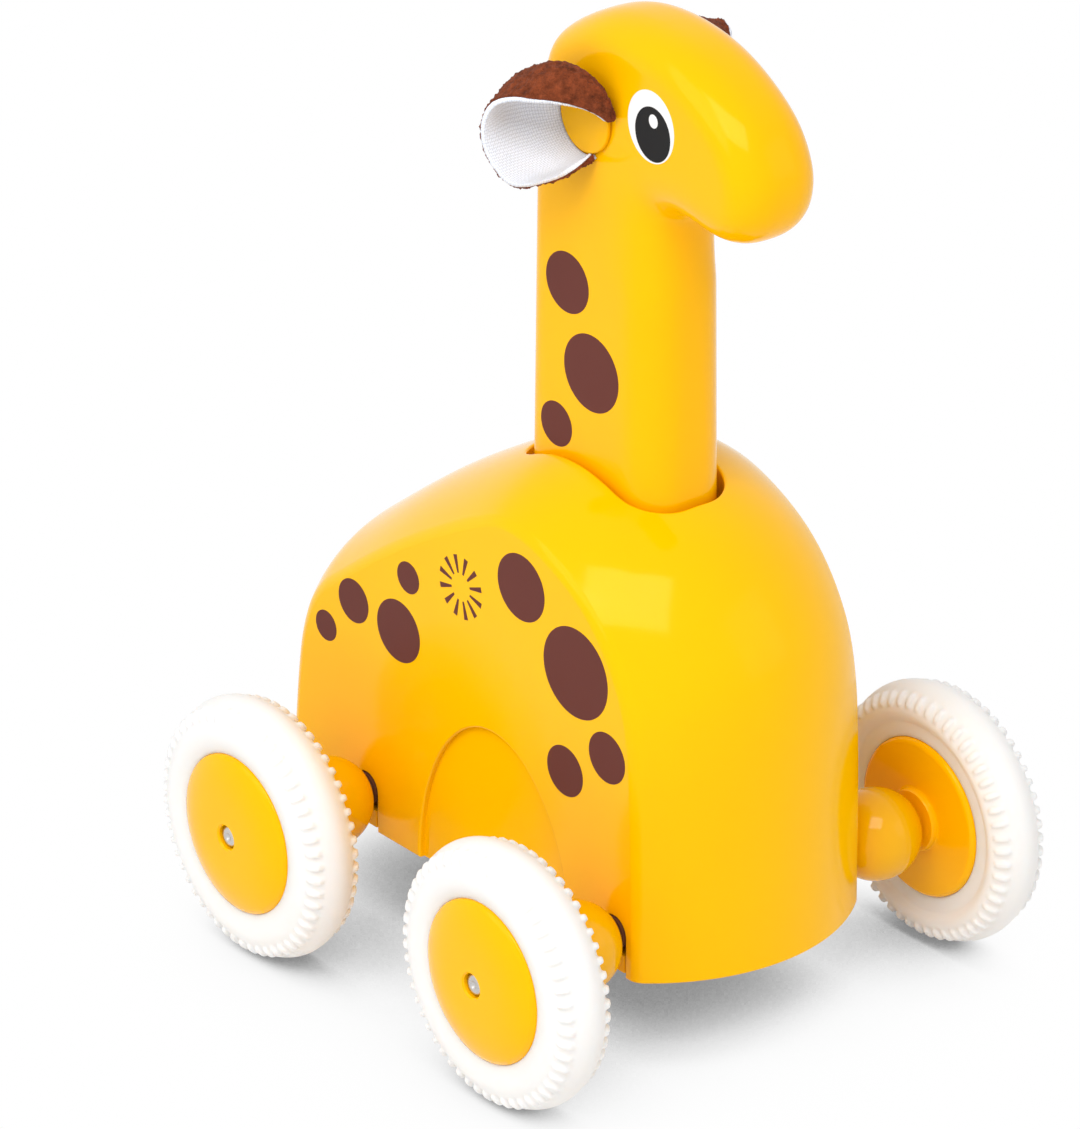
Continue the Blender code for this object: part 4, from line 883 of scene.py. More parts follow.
class GIRAFFE_OT_tyres(bpy.types.Operator):
    """Model the soft tyres with a row of small teeth on each shoulder"""

    bl_idname = "giraffe.tyres"
    bl_label = "Tyres"

    def execute(self, context):
        sizes = context.scene.giraffe_sizes
        profile = [(radius, TYRE_X + x) for radius, x in TYRE_SECTION]
        tyre = turned_piece("tyre", profile, sizes.tooth_count * TOOTH_STEPS)
        pitch = math.tau / sizes.tooth_count

        def on_tooth(face):
            """Whether a face of the shoulders is the foot of a tooth."""
            radii = [math.hypot(vert.co.y, vert.co.z) for vert in face.verts]
            if min(radii) < TOOTH_INNER - WELD or max(radii) > TOOTH_OUTER + WELD:
                return False
            centre = face.calc_center_median()
            return (math.atan2(centre.y, centre.z) % pitch) < pitch * TOOTH_SHARE

        def stand_out(co):
            """Where a point of a tooth's foot goes as the tooth's top."""
            radial = Vector((0.0, co.y, co.z)).normalized() * TOOTH_LEAN[0]
            axial = Vector((math.copysign(TOOTH_LEAN[1], co.x - TYRE_X), 0.0, 0.0))
            return co + (radial + axial) * sizes.tooth_height

        open_piece(tyre)
        pick(tyre, "FACE", on_tooth)
        bpy.ops.mesh.extrude_region_move()
        move_picked(tyre, stand_out)
        close_piece()
        apply(tyre, "SUBSURF", levels=1, render_levels=1)
        smooth_all_over(tyre)
        on_all_wheels(tyre, "tyre", "tyre_white")
        return {"FINISHED"}


class GIRAFFE_OT_hubs(bpy.types.Operator):
    """Model the domed hubs with a recess for the rivet and a collar towards the bead"""

    bl_idname = "giraffe.hubs"
    bl_label = "Hubs"

    def execute(self, context):
        back = HUB_BACK + HUB_COLLAR_HEIGHT
        floor = HUB_FACE - HUB_RECESS_DEPTH
        start = HUB_RECESS + HUB_LIP
        span = HUB_RADIUS - HUB_LIP - start
        profile = [(HUB_RECESS, floor), (HUB_RECESS, HUB_FACE - HUB_LIP)]
        for step in range(HUB_DOME_STEPS + 1):
            reach = start + span * step / HUB_DOME_STEPS
            profile.append((reach, HUB_FACE - HUB_DOME * (reach / HUB_RADIUS) ** HUB_DOME_POWER))
        profile += [(HUB_RADIUS + out, HUB_FACE - HUB_DOME + up) for out, up in HUB_RIM]
        for sine, cosine in quarter_turn(HUB_EDGE_STEPS):
            profile.append((HUB_RADIUS - HUB_EDGE + HUB_EDGE * cosine, back + HUB_EDGE - HUB_EDGE * sine))
        profile += [(radius, back + up) for radius, up in HUB_COLLAR]
        profile += [(HUB_COLLAR_END, HUB_BACK), (AXLE_BORE, HUB_BACK), (AXLE_BORE, floor)]
        hub = turned_piece("hub", profile, HUB_STEPS)
        smooth(hub)
        on_all_wheels(hub, "hub", "hub_yellow")
        return {"FINISHED"}


class GIRAFFE_OT_beads(bpy.types.Operator):
    """Turn the round spacer beads"""

    bl_idname = "giraffe.beads"
    bl_label = "Beads"

    def execute(self, context):
        start = math.asin(AXLE_BORE / BEAD_RADIUS)
        profile = []
        for step in range(BEAD_ARC_STEPS + 1):
            angle = start + (math.pi - 2 * start) * step / BEAD_ARC_STEPS
            profile.append((BEAD_RADIUS * math.sin(angle), BEAD_X + BEAD_RADIUS * math.cos(angle)))
        bead = turned_piece("bead", profile, BEAD_STEPS)
        smooth(bead)
        on_all_wheels(bead, "bead", "bead_lacquer")
        return {"FINISHED"}


class GIRAFFE_OT_axles(bpy.types.Operator):
    """Turn the axles, with a dimple in each riveted end"""

    bl_idname = "giraffe.axles"
    bl_label = "Axles"

    def execute(self, context):
        half = [(radius, AXLE_END + out) for radius, out in AXLE_NOSE]
        profile = half + [(radius, -x) for radius, x in reversed(half)]
        axle = turned_piece("axle", profile, AXLE_STEPS)
        smooth(axle, ROUND_ANGLE)
        for end, along in ENDS:
            twin = copy_piece(axle, f"{end}_axle_look", Matrix.Translation((0, along, 0)))
            hand_over(twin, f"{end}_axle", "axle_steel", [f"{end}_axle"])
        bpy.data.objects.remove(axle)
        return {"FINISHED"}


class GIRAFFE_OT_ear_pegs(bpy.types.Operator):
    """Turn the round pegs that hold the ears"""

    bl_idname = "giraffe.ear_pegs"
    bl_label = "Ear pegs"

    def execute(self, context):
        root = context.scene.giraffe_sizes.head_half_width
        share, drop = PEG_CROWN_INNER
        inner = PEG_RADIUS - PEG_EDGE
        rim = PEG_FACE - PEG_CROWN
        profile = [(0.0, PEG_FACE), (PEG_RADIUS * share, PEG_FACE - drop), (inner, rim)]
        for sine, cosine in quarter_turn(PEG_EDGE_STEPS)[1:]:
            profile.append((inner + PEG_EDGE * sine, rim - PEG_EDGE + PEG_EDGE * cosine))
        foot = root + EAR_PEG_GAP
        end = root - PEG_STEM_DEPTH
        profile += [(PEG_RADIUS, foot), (PEG_STEM, foot), (PEG_STEM, end), (0.0, end)]
        peg = turned_piece("ear_peg", profile, PEG_STEPS)
        smooth(peg)
        for side, matrix in SIDES:
            twin = copy_piece(peg, f"ear_peg_{side}_look", Matrix.Translation((0, PEG.y, PEG.z)) @ matrix)
            hand_over(twin, "neck", "peg_lacquer", [f"ear_peg_{side}"])
        bpy.data.objects.remove(peg)
        return {"FINISHED"}


class GIRAFFE_OT_ears(bpy.types.Operator):
    """Bend the ears round their pegs: felt outside, woven lining inside"""

    bl_idname = "giraffe.ears"
    bl_label = "Ears"

    def execute(self, context):
        sizes = context.scene.giraffe_sizes
        for side, matrix in SIDES:
            lift = sizes.left_lift if side == "left" else 0.0
            felt = self.cloth(f"ear_{side}_felt", sizes, sizes.felt, -1.0, lift, matrix)
            lining = self.cloth(f"ear_{side}_lining", sizes, sizes.lining, 1.0, lift, matrix)
            hand_over(felt, "neck", "brown_felt", [f"ear_{side}"])
            hand_over(lining, "neck", "white_weave")
        return {"FINISHED"}

    def cloth(self, name, sizes, thickness, towards_peg, lift, matrix):
        """One layer of an ear, thickened outwards or towards the peg from the face where the layers meet."""
        trim = EAR_TRIM if towards_peg < 0 else 0.0
        shift = EAR_CLOTH / 2 - sizes.felt
        around = smooth_path([(math.radians(row[0]), row[1], row[2]) for row in EAR_RIM], EAR_STEPS)
        bellies = smooth_path([(row[3], 0.0) for row in EAR_RIM], EAR_STEPS)
        first = around[0][0]
        last = around[-1][0]
        start = PEG_RADIUS + EAR_PEG_GAP + EAR_CLOTH / 2
        root = sizes.head_half_width + EAR_ROOT_GAP
        rows = []
        for step in range(EAR_ROWS + 1):
            share = step / EAR_ROWS
            swell = max(0.0, math.sin(math.pi * share)) ** EAR_BELLY_POWER
            row = []
            for (angle, depth, radius), belly in zip(around, bellies):
                reach = start + (radius - start) * share + belly.x * swell + shift
                reach += lift * share ** EAR_LIFT_POWER * max(0.0, math.sin(angle)) ** 2
                ends = min(1.0, (angle - first) / EAR_END_FADE, (last - angle) / EAR_END_FADE)
                rough = 0.0
                for waves, seed, weight in RIM_WAVES:
                    rough += weight * noise.noise(Vector((angle * waves, share * RIM_STRETCH, seed)))
                out = root + (depth - trim) * share + sizes.ragged * rough * share * ends
                row.append((out, PEG.y - reach * math.cos(angle), PEG.z + reach * math.sin(angle)))
            rows.append(row)
        sheet = grid_piece(f"{name}_flat", rows)
        apply(sheet, "SOLIDIFY", thickness=thickness, offset=towards_peg, use_even_offset=False)
        edit_all(sheet, face_outwards)
        if trim:
            self.raise_nap(sheet, sizes.fuzz)
        smooth_all_over(sheet)
        twin = copy_piece(sheet, name, matrix)
        bpy.data.objects.remove(sheet)
        return twin

    def raise_nap(self, sheet, height):
        """Roughen the outer side of the felt with tufts."""
        normals = [vert.normal.copy() for vert in sheet.data.vertices]
        for vert, normal in zip(sheet.data.vertices, normals):
            radial = Vector((0.0, vert.co.y - PEG.y, vert.co.z - PEG.z)).normalized()
            tuft = 0.0
            for fineness, weight in FELT_TUFTS:
                tuft += weight * noise.noise(vert.co * fineness)
            vert.co += normal * (tuft * height * max(0.0, normal.dot(radial)))


class GIRAFFE_OT_prints(bpy.types.Operator):
    """Print the spots, the ring of rays and the eyes"""

    bl_idname = "giraffe.prints"
    bl_label = "Printed marks"

    def execute(self, context):
        height = context.scene.giraffe_sizes.print_height
        body_marks = {"body_spots": self.discs(self.spots(BODY_SPOTS)), "ray_ring": self.rays()}
        for name, mark in body_marks.items():
            self.thicken(mark, height)
            self.on_both_sides(mark, name, "chassis", "print_brown")
        neck_marks = (
            ("neck_spots", self.spots(NECK_SPOTS), 1, "print_brown"),
            ("eye_white", [EYE_WHITE], 1, "print_white"),
            ("eye_pupil", [EYE_PUPIL], 2, "print_black"),
            ("eye_glint", [EYE_GLINT], 3, "print_white"),
        )
        for name, rows, layers, finish in neck_marks:
            mark = self.discs(rows, self.refine)
            self.lay_on_neck(mark)
            self.thicken(mark, height * layers)
            self.on_both_sides(mark, name, "neck", finish)
        return {"FINISHED"}

    def spots(self, rows):
        """Spots a little wider than tall."""
        return [(along, up, half, half * SPOT_FLATNESS) for along, up, half in rows]

    def discs(self, rows, refine=None):
        """Flat discs just inside the left side, each given along, up, half width and half height."""
        made = []
        for along, up, wide, tall in rows:
            disc = add(
                bpy.ops.mesh.primitive_circle_add, "disc", vertices=DISC_POINTS, radius=1.0, fill_type="NGON"
            )
            axes = ((0, 0, 1, BODY_HALF - PRINT_SINK), (wide, 0, 0, along), (0, tall, 0, up), (0, 0, 0, 1))
            disc.data.transform(Matrix(axes))
            if refine:
                refine(disc, min(wide, tall) / (DISC_RINGS + 1))
            made.append(disc)
        return join(made, "discs")

    def refine(self, disc, width):
        """Divide a disc into rings, so that it can follow a curved piece."""
        def divide():
            for _ in range(DISC_RINGS):
                bpy.ops.mesh.inset(thickness=width, use_boundary=True)
            bpy.ops.mesh.poke()

        edit_all(disc, divide)

    def rays(self):
        """A ring of dashes that widen outwards."""
        made = []
        for index in range(RAY_COUNT):
            ray = add(bpy.ops.mesh.primitive_plane_add, "ray", size=1.0)
            turn = math.tau * (index + 0.5) / RAY_COUNT
            out = Vector((math.cos(turn), math.sin(turn)))
            side = Vector((-out.y, out.x))
            for vert in ray.data.vertices:
                reach, half = RAY_END if vert.co.y > 0 else RAY_START
                spot = out * reach + side * math.copysign(half, vert.co.x)
                vert.co = (BODY_HALF - PRINT_SINK, RAY_RING[0] + spot.x, RAY_RING[1] + spot.y)
            made.append(ray)
        return join(made, "rays")

    def lay_on_neck(self, mark):
        """Press a flat print sideways onto the finished neck and head."""
        mark.data.transform(Matrix.Translation(DATUM))
        apply(
            mark, "SHRINKWRAP", target=bpy.data.objects["neck_and_head"], wrap_method="PROJECT",
            use_project_x=True, use_project_y=False, use_project_z=False,
            use_negative_direction=True, use_positive_direction=False,
        )
        mark.data.transform(Matrix.Translation((-PRINT_SINK, 0, 0)))
        mark.data.transform(Matrix.Translation(-DATUM))

    def thicken(self, flat, height):
        """Give a print on the left side its thickness."""
        def raise_face():
            bpy.ops.mesh.extrude_region_move()
            move_picked(flat, lambda co: (co.x + height + PRINT_SINK, co.y, co.z))

        edit_all(flat, raise_face, face_outwards)

    def on_both_sides(self, piece, name, body, finish):
        """Hand over a print on the left side and its mirror image on the right."""
        for side, matrix in SIDES:
            hand_over(copy_piece(piece, f"{name}_{side}", matrix), body, finish)
        bpy.data.objects.remove(piece)


class GIRAFFE_OT_spring(bpy.types.Operator):
    """Wind the return spring with closed end turns"""

    bl_idname = "giraffe.spring"
    bl_label = "Return spring"

    def execute(self, context):
        wire = context.scene.giraffe_sizes.wire
        rise = SPRING_HEAD - SPRING_FOOT - 2 * wire
        spring = add(
            bpy.ops.mesh.primitive_circle_add, "return_spring_look",
            vertices=WIRE_POINTS, radius=wire, fill_type="NOTHING",
        )
        spring.data.transform(Matrix.Translation((SPRING_COIL, 0, 0)) @ Matrix.Rotation(math.pi / 2, 4, "X"))
        apply(
            spring, "SCREW", axis="Z", steps=SPRING_STEPS, render_steps=SPRING_STEPS,
            iterations=SPRING_TURNS, screw_offset=rise / SPRING_TURNS, use_merge_vertices=False,
        )
        tight = 2 * wire * SPRING_END_PITCH
        free_turns = SPRING_TURNS - 2 * SPRING_END_TURNS
        pitch = (rise - 2 * SPRING_END_TURNS * tight) / free_turns
        for vert in spring.data.vertices:
            turn = (vert.index // WIRE_POINTS) / SPRING_STEPS
            low = min(turn, SPRING_END_TURNS) * tight
            high = max(0.0, turn - SPRING_TURNS + SPRING_END_TURNS) * tight
            between = min(max(turn - SPRING_END_TURNS, 0.0), free_turns) * pitch
            vert.co.z += low + high + between - turn * rise / SPRING_TURNS
        edit_all(spring, close_holes)
        clean(spring)
        spring.data.transform(Matrix.Translation(Vector((SPRING.x, SPRING.y, SPRING_FOOT + wire)) - DATUM))
        smooth(spring, ROUND_ANGLE)
        hand_over(spring, "chassis", "spring_steel", ["return_spring"])
        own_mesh(spring)
        return {"FINISHED"}


class GIRAFFE_OT_screws(bpy.types.Operator):
    """Turn the countersunk screws in the base and cut their cross recesses"""

    bl_idname = "giraffe.screws"
    bl_label = "Base screws"

    def execute(self, context):
        corners = [(end, side) for end, _ in ENDS for side, _ in SIDES]
        self.set_in([f"base_screw_{end}_{side}" for end, side in corners])
        self.set_in([f"gear_plate_screw_{side}_{end}" for end, side in corners])
        return {"FINISHED"}

    def set_in(self, parts):
        """Model a screw as long as the first of its CAD nodes, and copy it to each."""
        low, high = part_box(parts[0])
        tall = high[2] - low[2]
        point, taper = SCREW_TIP
        profile = [*SCREW_HEAD, (SCREW_SHANK, tall - taper), (point, tall), (0.0, tall)]
        screw = turned_piece("screw", profile, SCREW_STEPS)
        screw.data.transform(Matrix.Rotation(-math.pi / 2, 4, "Y"))
        clean(screw)
        for turn in (0.0, math.pi / 2):
            blade = add(bpy.ops.mesh.primitive_cube_add, "blade", size=1.0)
            blade.data.transform(Matrix.Rotation(turn, 4, "Z") @ Matrix.Diagonal((*SCREW_CROSS, 1)))
            cut(screw, blade)
        smooth(screw)
        for part in parts:
            spot = middle(part)
            foot = Vector((spot.x, spot.y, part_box(part)[0][2])) - DATUM
            turn = SCREW_TURN_ACROSS * spot.x / BODY_HALF + spot.y * SCREW_TURN_ALONG
            place = Matrix.Translation(foot) @ Matrix.Rotation(turn, 4, "Z")
            hand_over(
                copy_piece(screw, f"{part}_look", place), "chassis", "screw_steel", [part]
            )
        bpy.data.objects.remove(screw)


class GIRAFFE_OT_base(bpy.types.Operator):
    """Soften the edges of the bottom cover"""

    bl_idname = "giraffe.base"
    bl_label = "Bottom cover"

    def execute(self, context):
        plate = copy_piece(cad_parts["base_plate"], "base_plate_look", Matrix.Translation(-DATUM))
        plate.parent = None
        plate.matrix_world = Matrix.Identity(4)
        for key in list(plate.keys()):
            del plate[key]
        clean(plate)
        edit_all(plate, lambda: bpy.ops.mesh.dissolve_limited(angle_limit=FLAT_ANGLE))
        apply(plate, "BEVEL", width=BASE_EDGE, segments=2, limit_method="ANGLE", angle_limit=BASE_EDGE_ANGLE)
        smooth(plate)
        hand_over(plate, "chassis", "base_yellow", ["base_plate"])
        return {"FINISHED"}


class GIRAFFE_OT_works(bpy.types.Operator):
    """Finish the inner pieces that keep their CAD shape"""

    bl_idname = "giraffe.works"
    bl_label = "Inner works"

    def execute(self, context):
        finishes = {
            "axle_bush": "bush_brown", "gear_plate_left": "plate_grey", "gear_plate_right": "plate_grey",
            "drive_shaft": "shaft_steel", "idler_shaft": "shaft_steel", "rack_screw": "screw_steel",
            "drive_gear": "gear_acetal", "idler_gear": "gear_acetal", "axle_gear": "gear_acetal",
            "clutch_hub": "gear_acetal", "press_rack": "gear_acetal",
        }
        for part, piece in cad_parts.items():
            for start, finish in finishes.items():
                if part.startswith(start) and not piece.hide_render:
                    for place in piece.material_slots:
                        place.material = FINISHES[finish]
        return {"FINISHED"}


def node(tree, kind, links=(), **values):
    """A node with its values set and its inputs linked or filled."""
    made = tree.nodes.new(kind)
    for key, value in values.items():
        setattr(made, key, value)
    for socket, value in dict(links).items():
        if isinstance(value, bpy.types.NodeSocket):
            tree.links.new(value, made.inputs[socket])
        else:
            made.inputs[socket].default_value = value
    return made


def math_node(tree, operation, first, second=0.0, third=0.0):
    """A maths node's value."""
    return node(tree, "ShaderNodeMath", {0: first, 1: second, 2: third}, operation=operation).outputs[0]


def noise_node(tree, place, scale, detail, distortion=0.0):
    """A noise texture's value."""
    links = {"Vector": place, "Scale": scale, "Detail": detail, "Distortion": distortion}
    return node(tree, "ShaderNodeTexNoise", links).outputs[0]


def open_group(name, **levels):
    """A shader node group that takes a place, a colour and levels, and its input sockets."""
    group = bpy.data.node_groups.new(name, "ShaderNodeTree")
    sockets = group.interface
    sockets.new_socket("Vector", in_out="INPUT", socket_type="NodeSocketVector")
    sockets.new_socket("Colour", in_out="INPUT", socket_type="NodeSocketColor")
    for label, value in levels.items():
        sockets.new_socket(label, in_out="INPUT", socket_type="NodeSocketFloat").default_value = value
    sockets.new_socket("Colour", in_out="OUTPUT", socket_type="NodeSocketColor")
    for label in ("Roughness", "Height"):
        sockets.new_socket(label, in_out="OUTPUT", socket_type="NodeSocketFloat")
    return group, group.nodes.new("NodeGroupInput").outputs


def close_group(group, given, shade, roughness, height):
    """Give out the group's colour, lightened or darkened by a shade, its roughness and its height."""
    out = group.nodes.new("NodeGroupOutput").inputs
    scaled = node(group, "ShaderNodeVectorMath", {0: given["Colour"], "Scale": shade}, operation="SCALE")
    for label, socket in (("Colour", scaled.outputs[0]), ("Roughness", roughness), ("Height", height)):
        group.links.new(socket, out[label])
    return group


def surface_group():
    """Uneven colour, uneven gloss and fine relief for smooth finishes."""
    group, given = open_group("Smooth surface", Shade=0.05, Roughness=0.2, Smudge=0.08, Grain=700.0)
    tint = noise_node(group, given["Vector"], scale=55.0, detail=3.0)
    smudge = noise_node(group, given["Vector"], scale=140.0, detail=5.0)
    grain = noise_node(group, given["Vector"], scale=given["Grain"], detail=2.0)
    shade = math_node(group, "MULTIPLY_ADD", math_node(group, "SUBTRACT", tint, 0.5), given["Shade"], 1.0)
    swing = math_node(group, "SUBTRACT", smudge, 0.5)
    roughness = math_node(group, "MULTIPLY_ADD", swing, given["Smudge"], given["Roughness"])
    return close_group(group, given, shade, roughness, grain)


def weave_group():
    """Threads that pass over and under each other, on a UV map in metres, with painted shade in the gaps
    between them.
    """
    group, given = open_group("Woven threads", Pitch=0.0004)
    wobble = node(group, "ShaderNodeTexNoise", {"Vector": given["Vector"], "Scale": 400.0}).outputs[1]
    shift = node(group, "ShaderNodeVectorMath", {0: wobble, "Scale": 0.0003}, operation="SCALE").outputs[0]
    moved = node(group, "ShaderNodeVectorMath", {0: given["Vector"], 1: shift}).outputs[0]
    places = node(group, "ShaderNodeSeparateXYZ", {0: moved}).outputs
    squares = []
    threads = []
    for place in (places[0], places[1]):
        count = math_node(group, "DIVIDE", place, given["Pitch"])
        squares.append(math_node(group, "FLOOR", count))
        turn = math_node(group, "MULTIPLY", math_node(group, "FRACT", count), math.pi)
        threads.append(math_node(group, "SINE", turn))
    over = math_node(group, "PINGPONG", math_node(group, "ADD", squares[0], squares[1]), 1.0)
    height = node(group, "ShaderNodeMix", {0: over, 2: threads[0], 3: threads[1]}).outputs[0]
    # Painted shade: the colour darkens where each thread dips towards the gaps between threads
    shade = math_node(group, "MULTIPLY_ADD", height, 0.32, 0.76)
    roughness = math_node(group, "MULTIPLY_ADD", height, -0.15, 0.95)
    return close_group(group, given, shade, roughness, height)


def felt_group():
    """Mottled matted fibres."""
    group, given = open_group("Matted fibres")
    clumps = noise_node(group, given["Vector"], scale=700.0, detail=4.0)
    fibres = noise_node(group, given["Vector"], scale=3600.0, detail=3.0, distortion=1.5)
    height = math_node(group, "MULTIPLY_ADD", fibres, 0.55, math_node(group, "MULTIPLY", clumps, 0.75))
    shade = math_node(group, "MULTIPLY_ADD", height, 3.0, -0.95)
    roughness = math_node(group, "MULTIPLY_ADD", fibres, 0.1, 0.88)
    return close_group(group, given, shade, roughness, height)


def drawn_group():
    """Fine lines along X on drawn or turned metal."""
    group, given = open_group("Drawn metal", Roughness=0.3)
    stretch = {"Vector": given["Vector"], "Scale": (120.0, 2600.0, 2600.0)}
    lines = noise_node(group, node(group, "ShaderNodeMapping", stretch).outputs[0], scale=1.0, detail=3.0)
    tint = noise_node(group, given["Vector"], scale=300.0, detail=2.0)
    shade = math_node(group, "MULTIPLY_ADD", tint, 0.3, 0.85)
    swing = math_node(group, "SUBTRACT", lines, 0.5)
    roughness = math_node(group, "MULTIPLY_ADD", swing, 0.25, given["Roughness"])
    return close_group(group, given, shade, roughness, lines)


def mix_finish(name, group, tint, relief, levels=(), shader_values=(), flat=None):
    """A material: a shared surface group that feeds colour, roughness and relief to a Principled shader."""
    material = bpy.data.materials.new(name)
    material.use_nodes = True
    tree = material.node_tree
    shader = tree.nodes["Principled BSDF"].inputs
    place = node(tree, "ShaderNodeTexCoord").outputs["UV" if flat else "Object"]
    if flat:
        place = node(tree, "ShaderNodeMapping", {"Vector": place, "Scale": flat}).outputs[0]
    links = {"Vector": place, "Colour": tint, **dict(levels)}
    surface = node(tree, "ShaderNodeGroup", links, node_tree=group).outputs
    strength, distance = relief
    raised = {"Strength": strength, "Distance": distance, "Height": surface["Height"]}
    bump = node(tree, "ShaderNodeBump", raised).outputs["Normal"]
    tree.links.new(surface["Colour"], shader["Base Color"])
    tree.links.new(surface["Roughness"], shader["Roughness"])
    tree.links.new(bump, shader["Normal"])
    for label, value in dict(shader_values).items():
        shader[label].default_value = value
    FINISHES[name] = material


class GIRAFFE_OT_finishes(bpy.types.Operator):
    """Mix the finishes"""

    bl_idname = "giraffe.finishes"
    bl_label = "Finishes"

    def execute(self, context):
        tints = context.scene.giraffe_colours
        surface = surface_group()
        drawn = drawn_group()
        gloss = {"Specular IOR Level": 0.24, "Specular Tint": (1.0, 0.85, 0.35, 1.0)}
        lacquer = {"Specular IOR Level": 0.1, "Coat Weight": 0.3, "Coat Roughness": 0.05}
        ink = {"Specular IOR Level": 0.08}
        dull = {"Specular IOR Level": 0.2}
        soft = {
            "Specular IOR Level": 0.2, "Subsurface Weight": 0.5, "Subsurface Radius": (1.0, 0.85, 0.75),
            "Subsurface Scale": 0.005,
        }
        # Name, tint, roughness, smudge, grain, relief as strength and distance, shader values
        smooth_rows = (
            ("casing_yellow", tints.casing, 0.11, 0.06, 900.0, (0.05, 0.00006), gloss),
            ("neck_lacquer", tints.neck, 0.13, 0.07, 650.0, (0.06, 0.00008), gloss),
            ("peg_lacquer", tints.peg, 0.22, 0.07, 650.0, (0.06, 0.00008), gloss),
            ("hub_yellow", tints.hub, 0.1, 0.06, 900.0, (0.05, 0.00006), gloss),
            ("bead_lacquer", tints.bead, 0.08, 0.05, 500.0, (0.03, 0.00006), lacquer),
            ("base_yellow", tints.base, 0.45, 0.1, 2500.0, (0.25, 0.00008), gloss),
            ("tyre_white", tints.tyre, 0.5, 0.1, 2200.0, (0.1, 0.00006), soft),
            ("print_brown", tints.print_brown, 0.35, 0.08, 1500.0, (0.1, 0.00004), ink),
            ("print_white", tints.eye_white, 0.3, 0.08, 1500.0, (0.08, 0.00004), ink),
            ("print_black", tints.eye_black, 0.25, 0.06, 1500.0, (0.08, 0.00004), ink),
            ("gear_acetal", tints.acetal, 0.42, 0.1, 1800.0, (0.12, 0.00006), dull),
            ("plate_grey", tints.plate, 0.5, 0.1, 2600.0, (0.3, 0.00008), dull),
            ("bush_brown", tints.bush, 0.35, 0.1, 1800.0, (0.1, 0.00006), dull),
        )
        for name, tint, roughness, smudge, grain, relief, values in smooth_rows:
            levels = {"Roughness": roughness, "Smudge": smudge, "Grain": grain}
            mix_finish(name, surface, tint, relief, levels, values)
        steels = {"axle_steel": 0.3, "screw_steel": 0.35, "shaft_steel": 0.22, "spring_steel": 0.3}
        for name, roughness in steels.items():
            levels = {"Roughness": roughness}
            mix_finish(name, drawn, tints.steel, (0.15, 0.00004), levels, {"Metallic": 1.0})
        nap = {"Specular IOR Level": 0.1, "Sheen Weight": 0.06, "Sheen Roughness": 0.5}
        mix_finish("brown_felt", felt_group(), tints.felt, (0.9, 0.0003), (), nap)
        cloth = {"Specular IOR Level": 0.1, "Sheen Weight": 0.25, "Sheen Roughness": 0.5}
        flat = (0.048, 0.0145, 1.0)
        mix_finish("white_weave", weave_group(), tints.lining, (0.6, 0.00012), (), cloth, flat)
        return {"FINISHED"}


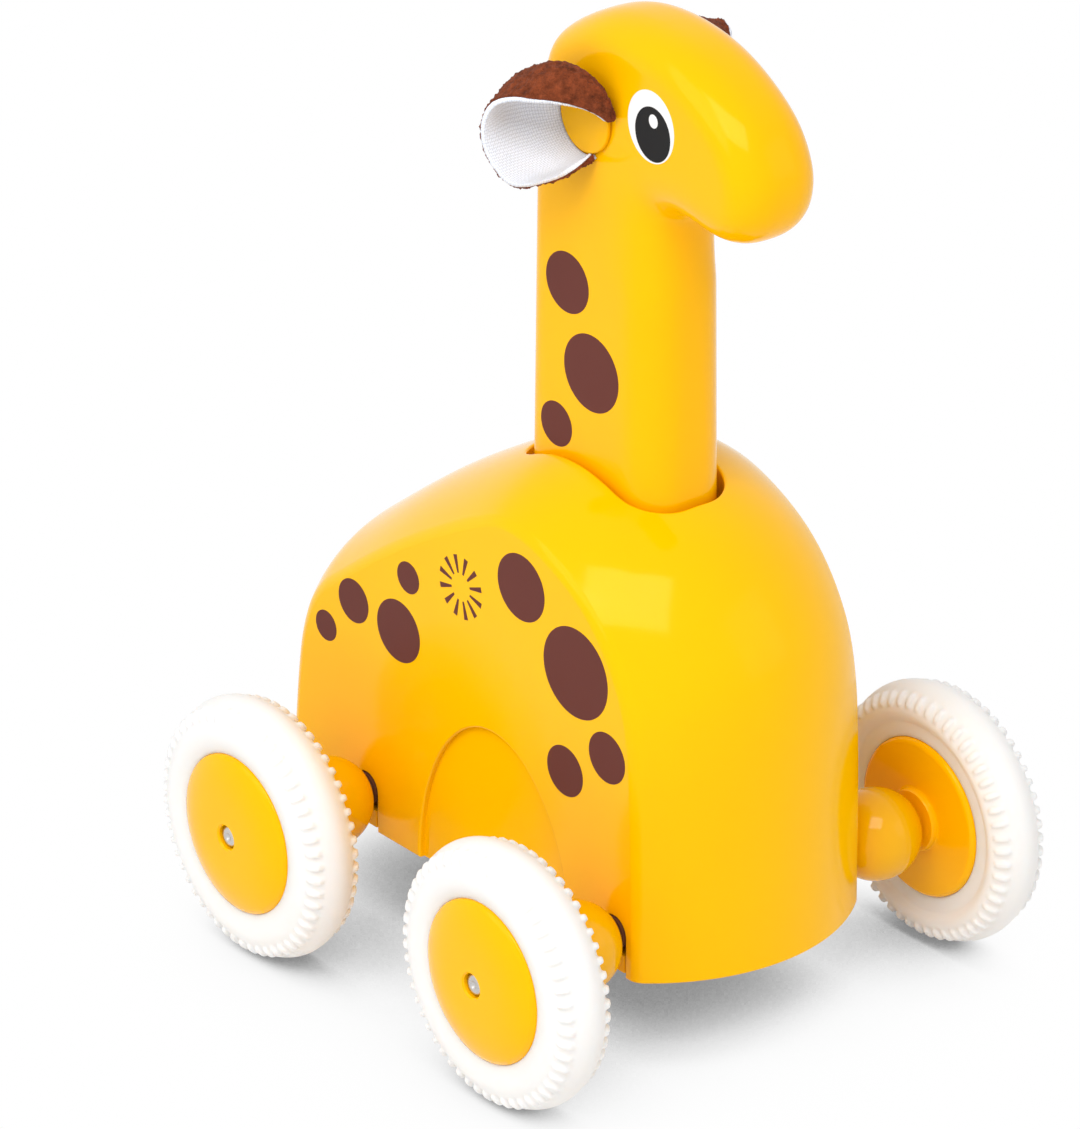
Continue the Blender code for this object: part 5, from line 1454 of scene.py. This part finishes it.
class GIRAFFE_OT_stage(bpy.types.Operator):
    """Set the floor, the light and the camera"""

    bl_idname = "giraffe.stage"
    bl_label = "Stage"

    def execute(self, context):
        settings = context.scene.giraffe_stage
        self.add_camera(context, settings)
        self.add_floor()
        self.add_world(context, settings)
        self.add_light("overhead_softbox", SOFTBOX, settings.overhead)
        self.add_light("front_fill", FRONT_FILL, settings.fill)
        self.add_light("side_fill", SIDE_FILL, settings.side)
        context.scene.view_settings.view_transform = "Standard"
        return {"FINISHED"}

    def add_camera(self, context, settings):
        """The camera at the photograph's angle."""
        lens = bpy.data.cameras.new("camera")
        lens.lens = settings.focal
        lens.sensor_width = SENSOR_WIDTH
        camera = bpy.data.objects.new("camera", lens)
        camera.location = settings.camera_place
        camera.rotation_euler = settings.camera_turn
        context.scene.collection.objects.link(camera)
        context.scene.camera = camera

    def add_light(self, name, form, energy):
        """An area light turned towards the toy."""
        spot, wide, deep = form
        lamp = bpy.data.lights.new(name, "AREA")
        lamp.shape = "RECTANGLE"
        lamp.size = wide
        lamp.size_y = deep
        lamp.energy = energy
        light = bpy.data.objects.new(name, lamp)
        light.location = spot
        light.rotation_euler = (LIGHT_AIM - Vector(spot)).to_track_quat("-Z", "Y").to_euler()
        bpy.context.scene.collection.objects.link(light)

    def seen_directly(self, tree):
        """A mask of what the camera sees, straight or through gloss and glass."""
        path = node(tree, "ShaderNodeLightPath").outputs
        mask = math_node(tree, "MAXIMUM", path["Is Camera Ray"], path["Is Glossy Ray"])
        return math_node(tree, "MAXIMUM", mask, path["Is Transmission Ray"])

    def add_floor(self):
        """A pale floor with a painted soft grey shadow round the toy."""
        floor = add(bpy.ops.mesh.primitive_plane_add, "floor", size=FLOOR_SIZE)
        material = bpy.data.materials.new("floor_white")
        material.use_nodes = True
        tree = material.node_tree
        shader = tree.nodes["Principled BSDF"]
        shader.inputs["Base Color"].default_value = (FLOOR_GREY, FLOOR_GREY, FLOOR_GREY, 1.0)
        shader.inputs["Roughness"].default_value = 0.9
        shader.inputs["Specular IOR Level"].default_value = 0.0
        # Painted shadow: the camera sees the floor as white light, greyed where the toy hides the sky, not
        # shade cast by the lamps
        near = node(tree, "ShaderNodeAmbientOcclusion", {"Distance": SHADOW_REACH}, samples=16).outputs["AO"]
        hidden = math_node(tree, "POWER", math_node(tree, "SUBTRACT", 1.0, near), SHADOW_POWER)
        painted_shadow_level = math_node(tree, "MULTIPLY_ADD", hidden, -SHADOW_DEPTH, 1.0)
        painted_shadow_level = math_node(tree, "MAXIMUM", painted_shadow_level, SHADOW_LEAST)
        white = node(tree, "ShaderNodeEmission", {"Strength": painted_shadow_level}).outputs[0]
        mask = self.seen_directly(tree)
        mixed = node(tree, "ShaderNodeMixShader", {0: mask, 1: shader.outputs[0], 2: white}).outputs[0]
        tree.links.new(mixed, tree.nodes["Material Output"].inputs["Surface"])
        floor.data.materials.append(material)

    def add_world(self, context, settings):
        """A white surround that lights the toy softly."""
        world = bpy.data.worlds.new("white_surround")
        world.use_nodes = True
        tree = world.node_tree
        ground = tree.nodes["Background"]
        ground.inputs["Color"].default_value = (1.0, 1.0, 1.0, 1.0)
        levels = {0: self.seen_directly(tree), 3: settings.ambient, 4: 1.0}
        tree.links.new(node(tree, "ShaderNodeMapRange", levels).outputs[0], ground.inputs["Strength"])
        context.scene.world = world


class GIRAFFE_PT_panel(bpy.types.Panel):
    """Sizes, colours and steps of the toy"""

    bl_label = "Giraffe toy"
    bl_idname = "GIRAFFE_PT_panel"
    bl_space_type = "VIEW_3D"
    bl_region_type = "UI"
    bl_category = "Giraffe"

    def draw(self, context):
        for group in SETTINGS:
            settings = getattr(context.scene, group)
            box = self.layout.box()
            for name in settings.bl_rna.properties.keys():
                if name not in ("rna_type", "name"):
                    box.prop(settings, name)
        for step in STEPS:
            self.layout.operator(step.bl_idname)


STEPS = (
    GIRAFFE_OT_finishes, GIRAFFE_OT_stage, GIRAFFE_OT_casing, GIRAFFE_OT_neck, GIRAFFE_OT_tyres,
    GIRAFFE_OT_hubs, GIRAFFE_OT_beads, GIRAFFE_OT_axles, GIRAFFE_OT_ear_pegs, GIRAFFE_OT_ears,
    GIRAFFE_OT_prints, GIRAFFE_OT_spring, GIRAFFE_OT_screws, GIRAFFE_OT_base, GIRAFFE_OT_works,
)
SETTINGS = {"giraffe_sizes": GiraffeSizes, "giraffe_colours": GiraffeColours, "giraffe_stage": GiraffeStage}


def register():
    """Register the classes and hang the settings on the scene."""
    for kind in (*SETTINGS.values(), *STEPS, GIRAFFE_PT_panel):
        bpy.utils.register_class(kind)
    for name, kind in SETTINGS.items():
        setattr(bpy.types.Scene, name, PointerProperty(type=kind))


def unregister():
    """Take the settings and the classes away again."""
    for name in SETTINGS:
        delattr(bpy.types.Scene, name)
    for kind in (GIRAFFE_PT_panel, *reversed(STEPS), *reversed(SETTINGS.values())):
        bpy.utils.unregister_class(kind)


def main():
    register()
    for step in STEPS:
        group, name = step.bl_idname.split(".")
        getattr(getattr(bpy.ops, group), name)()


if __name__ == "__main__":
    main()
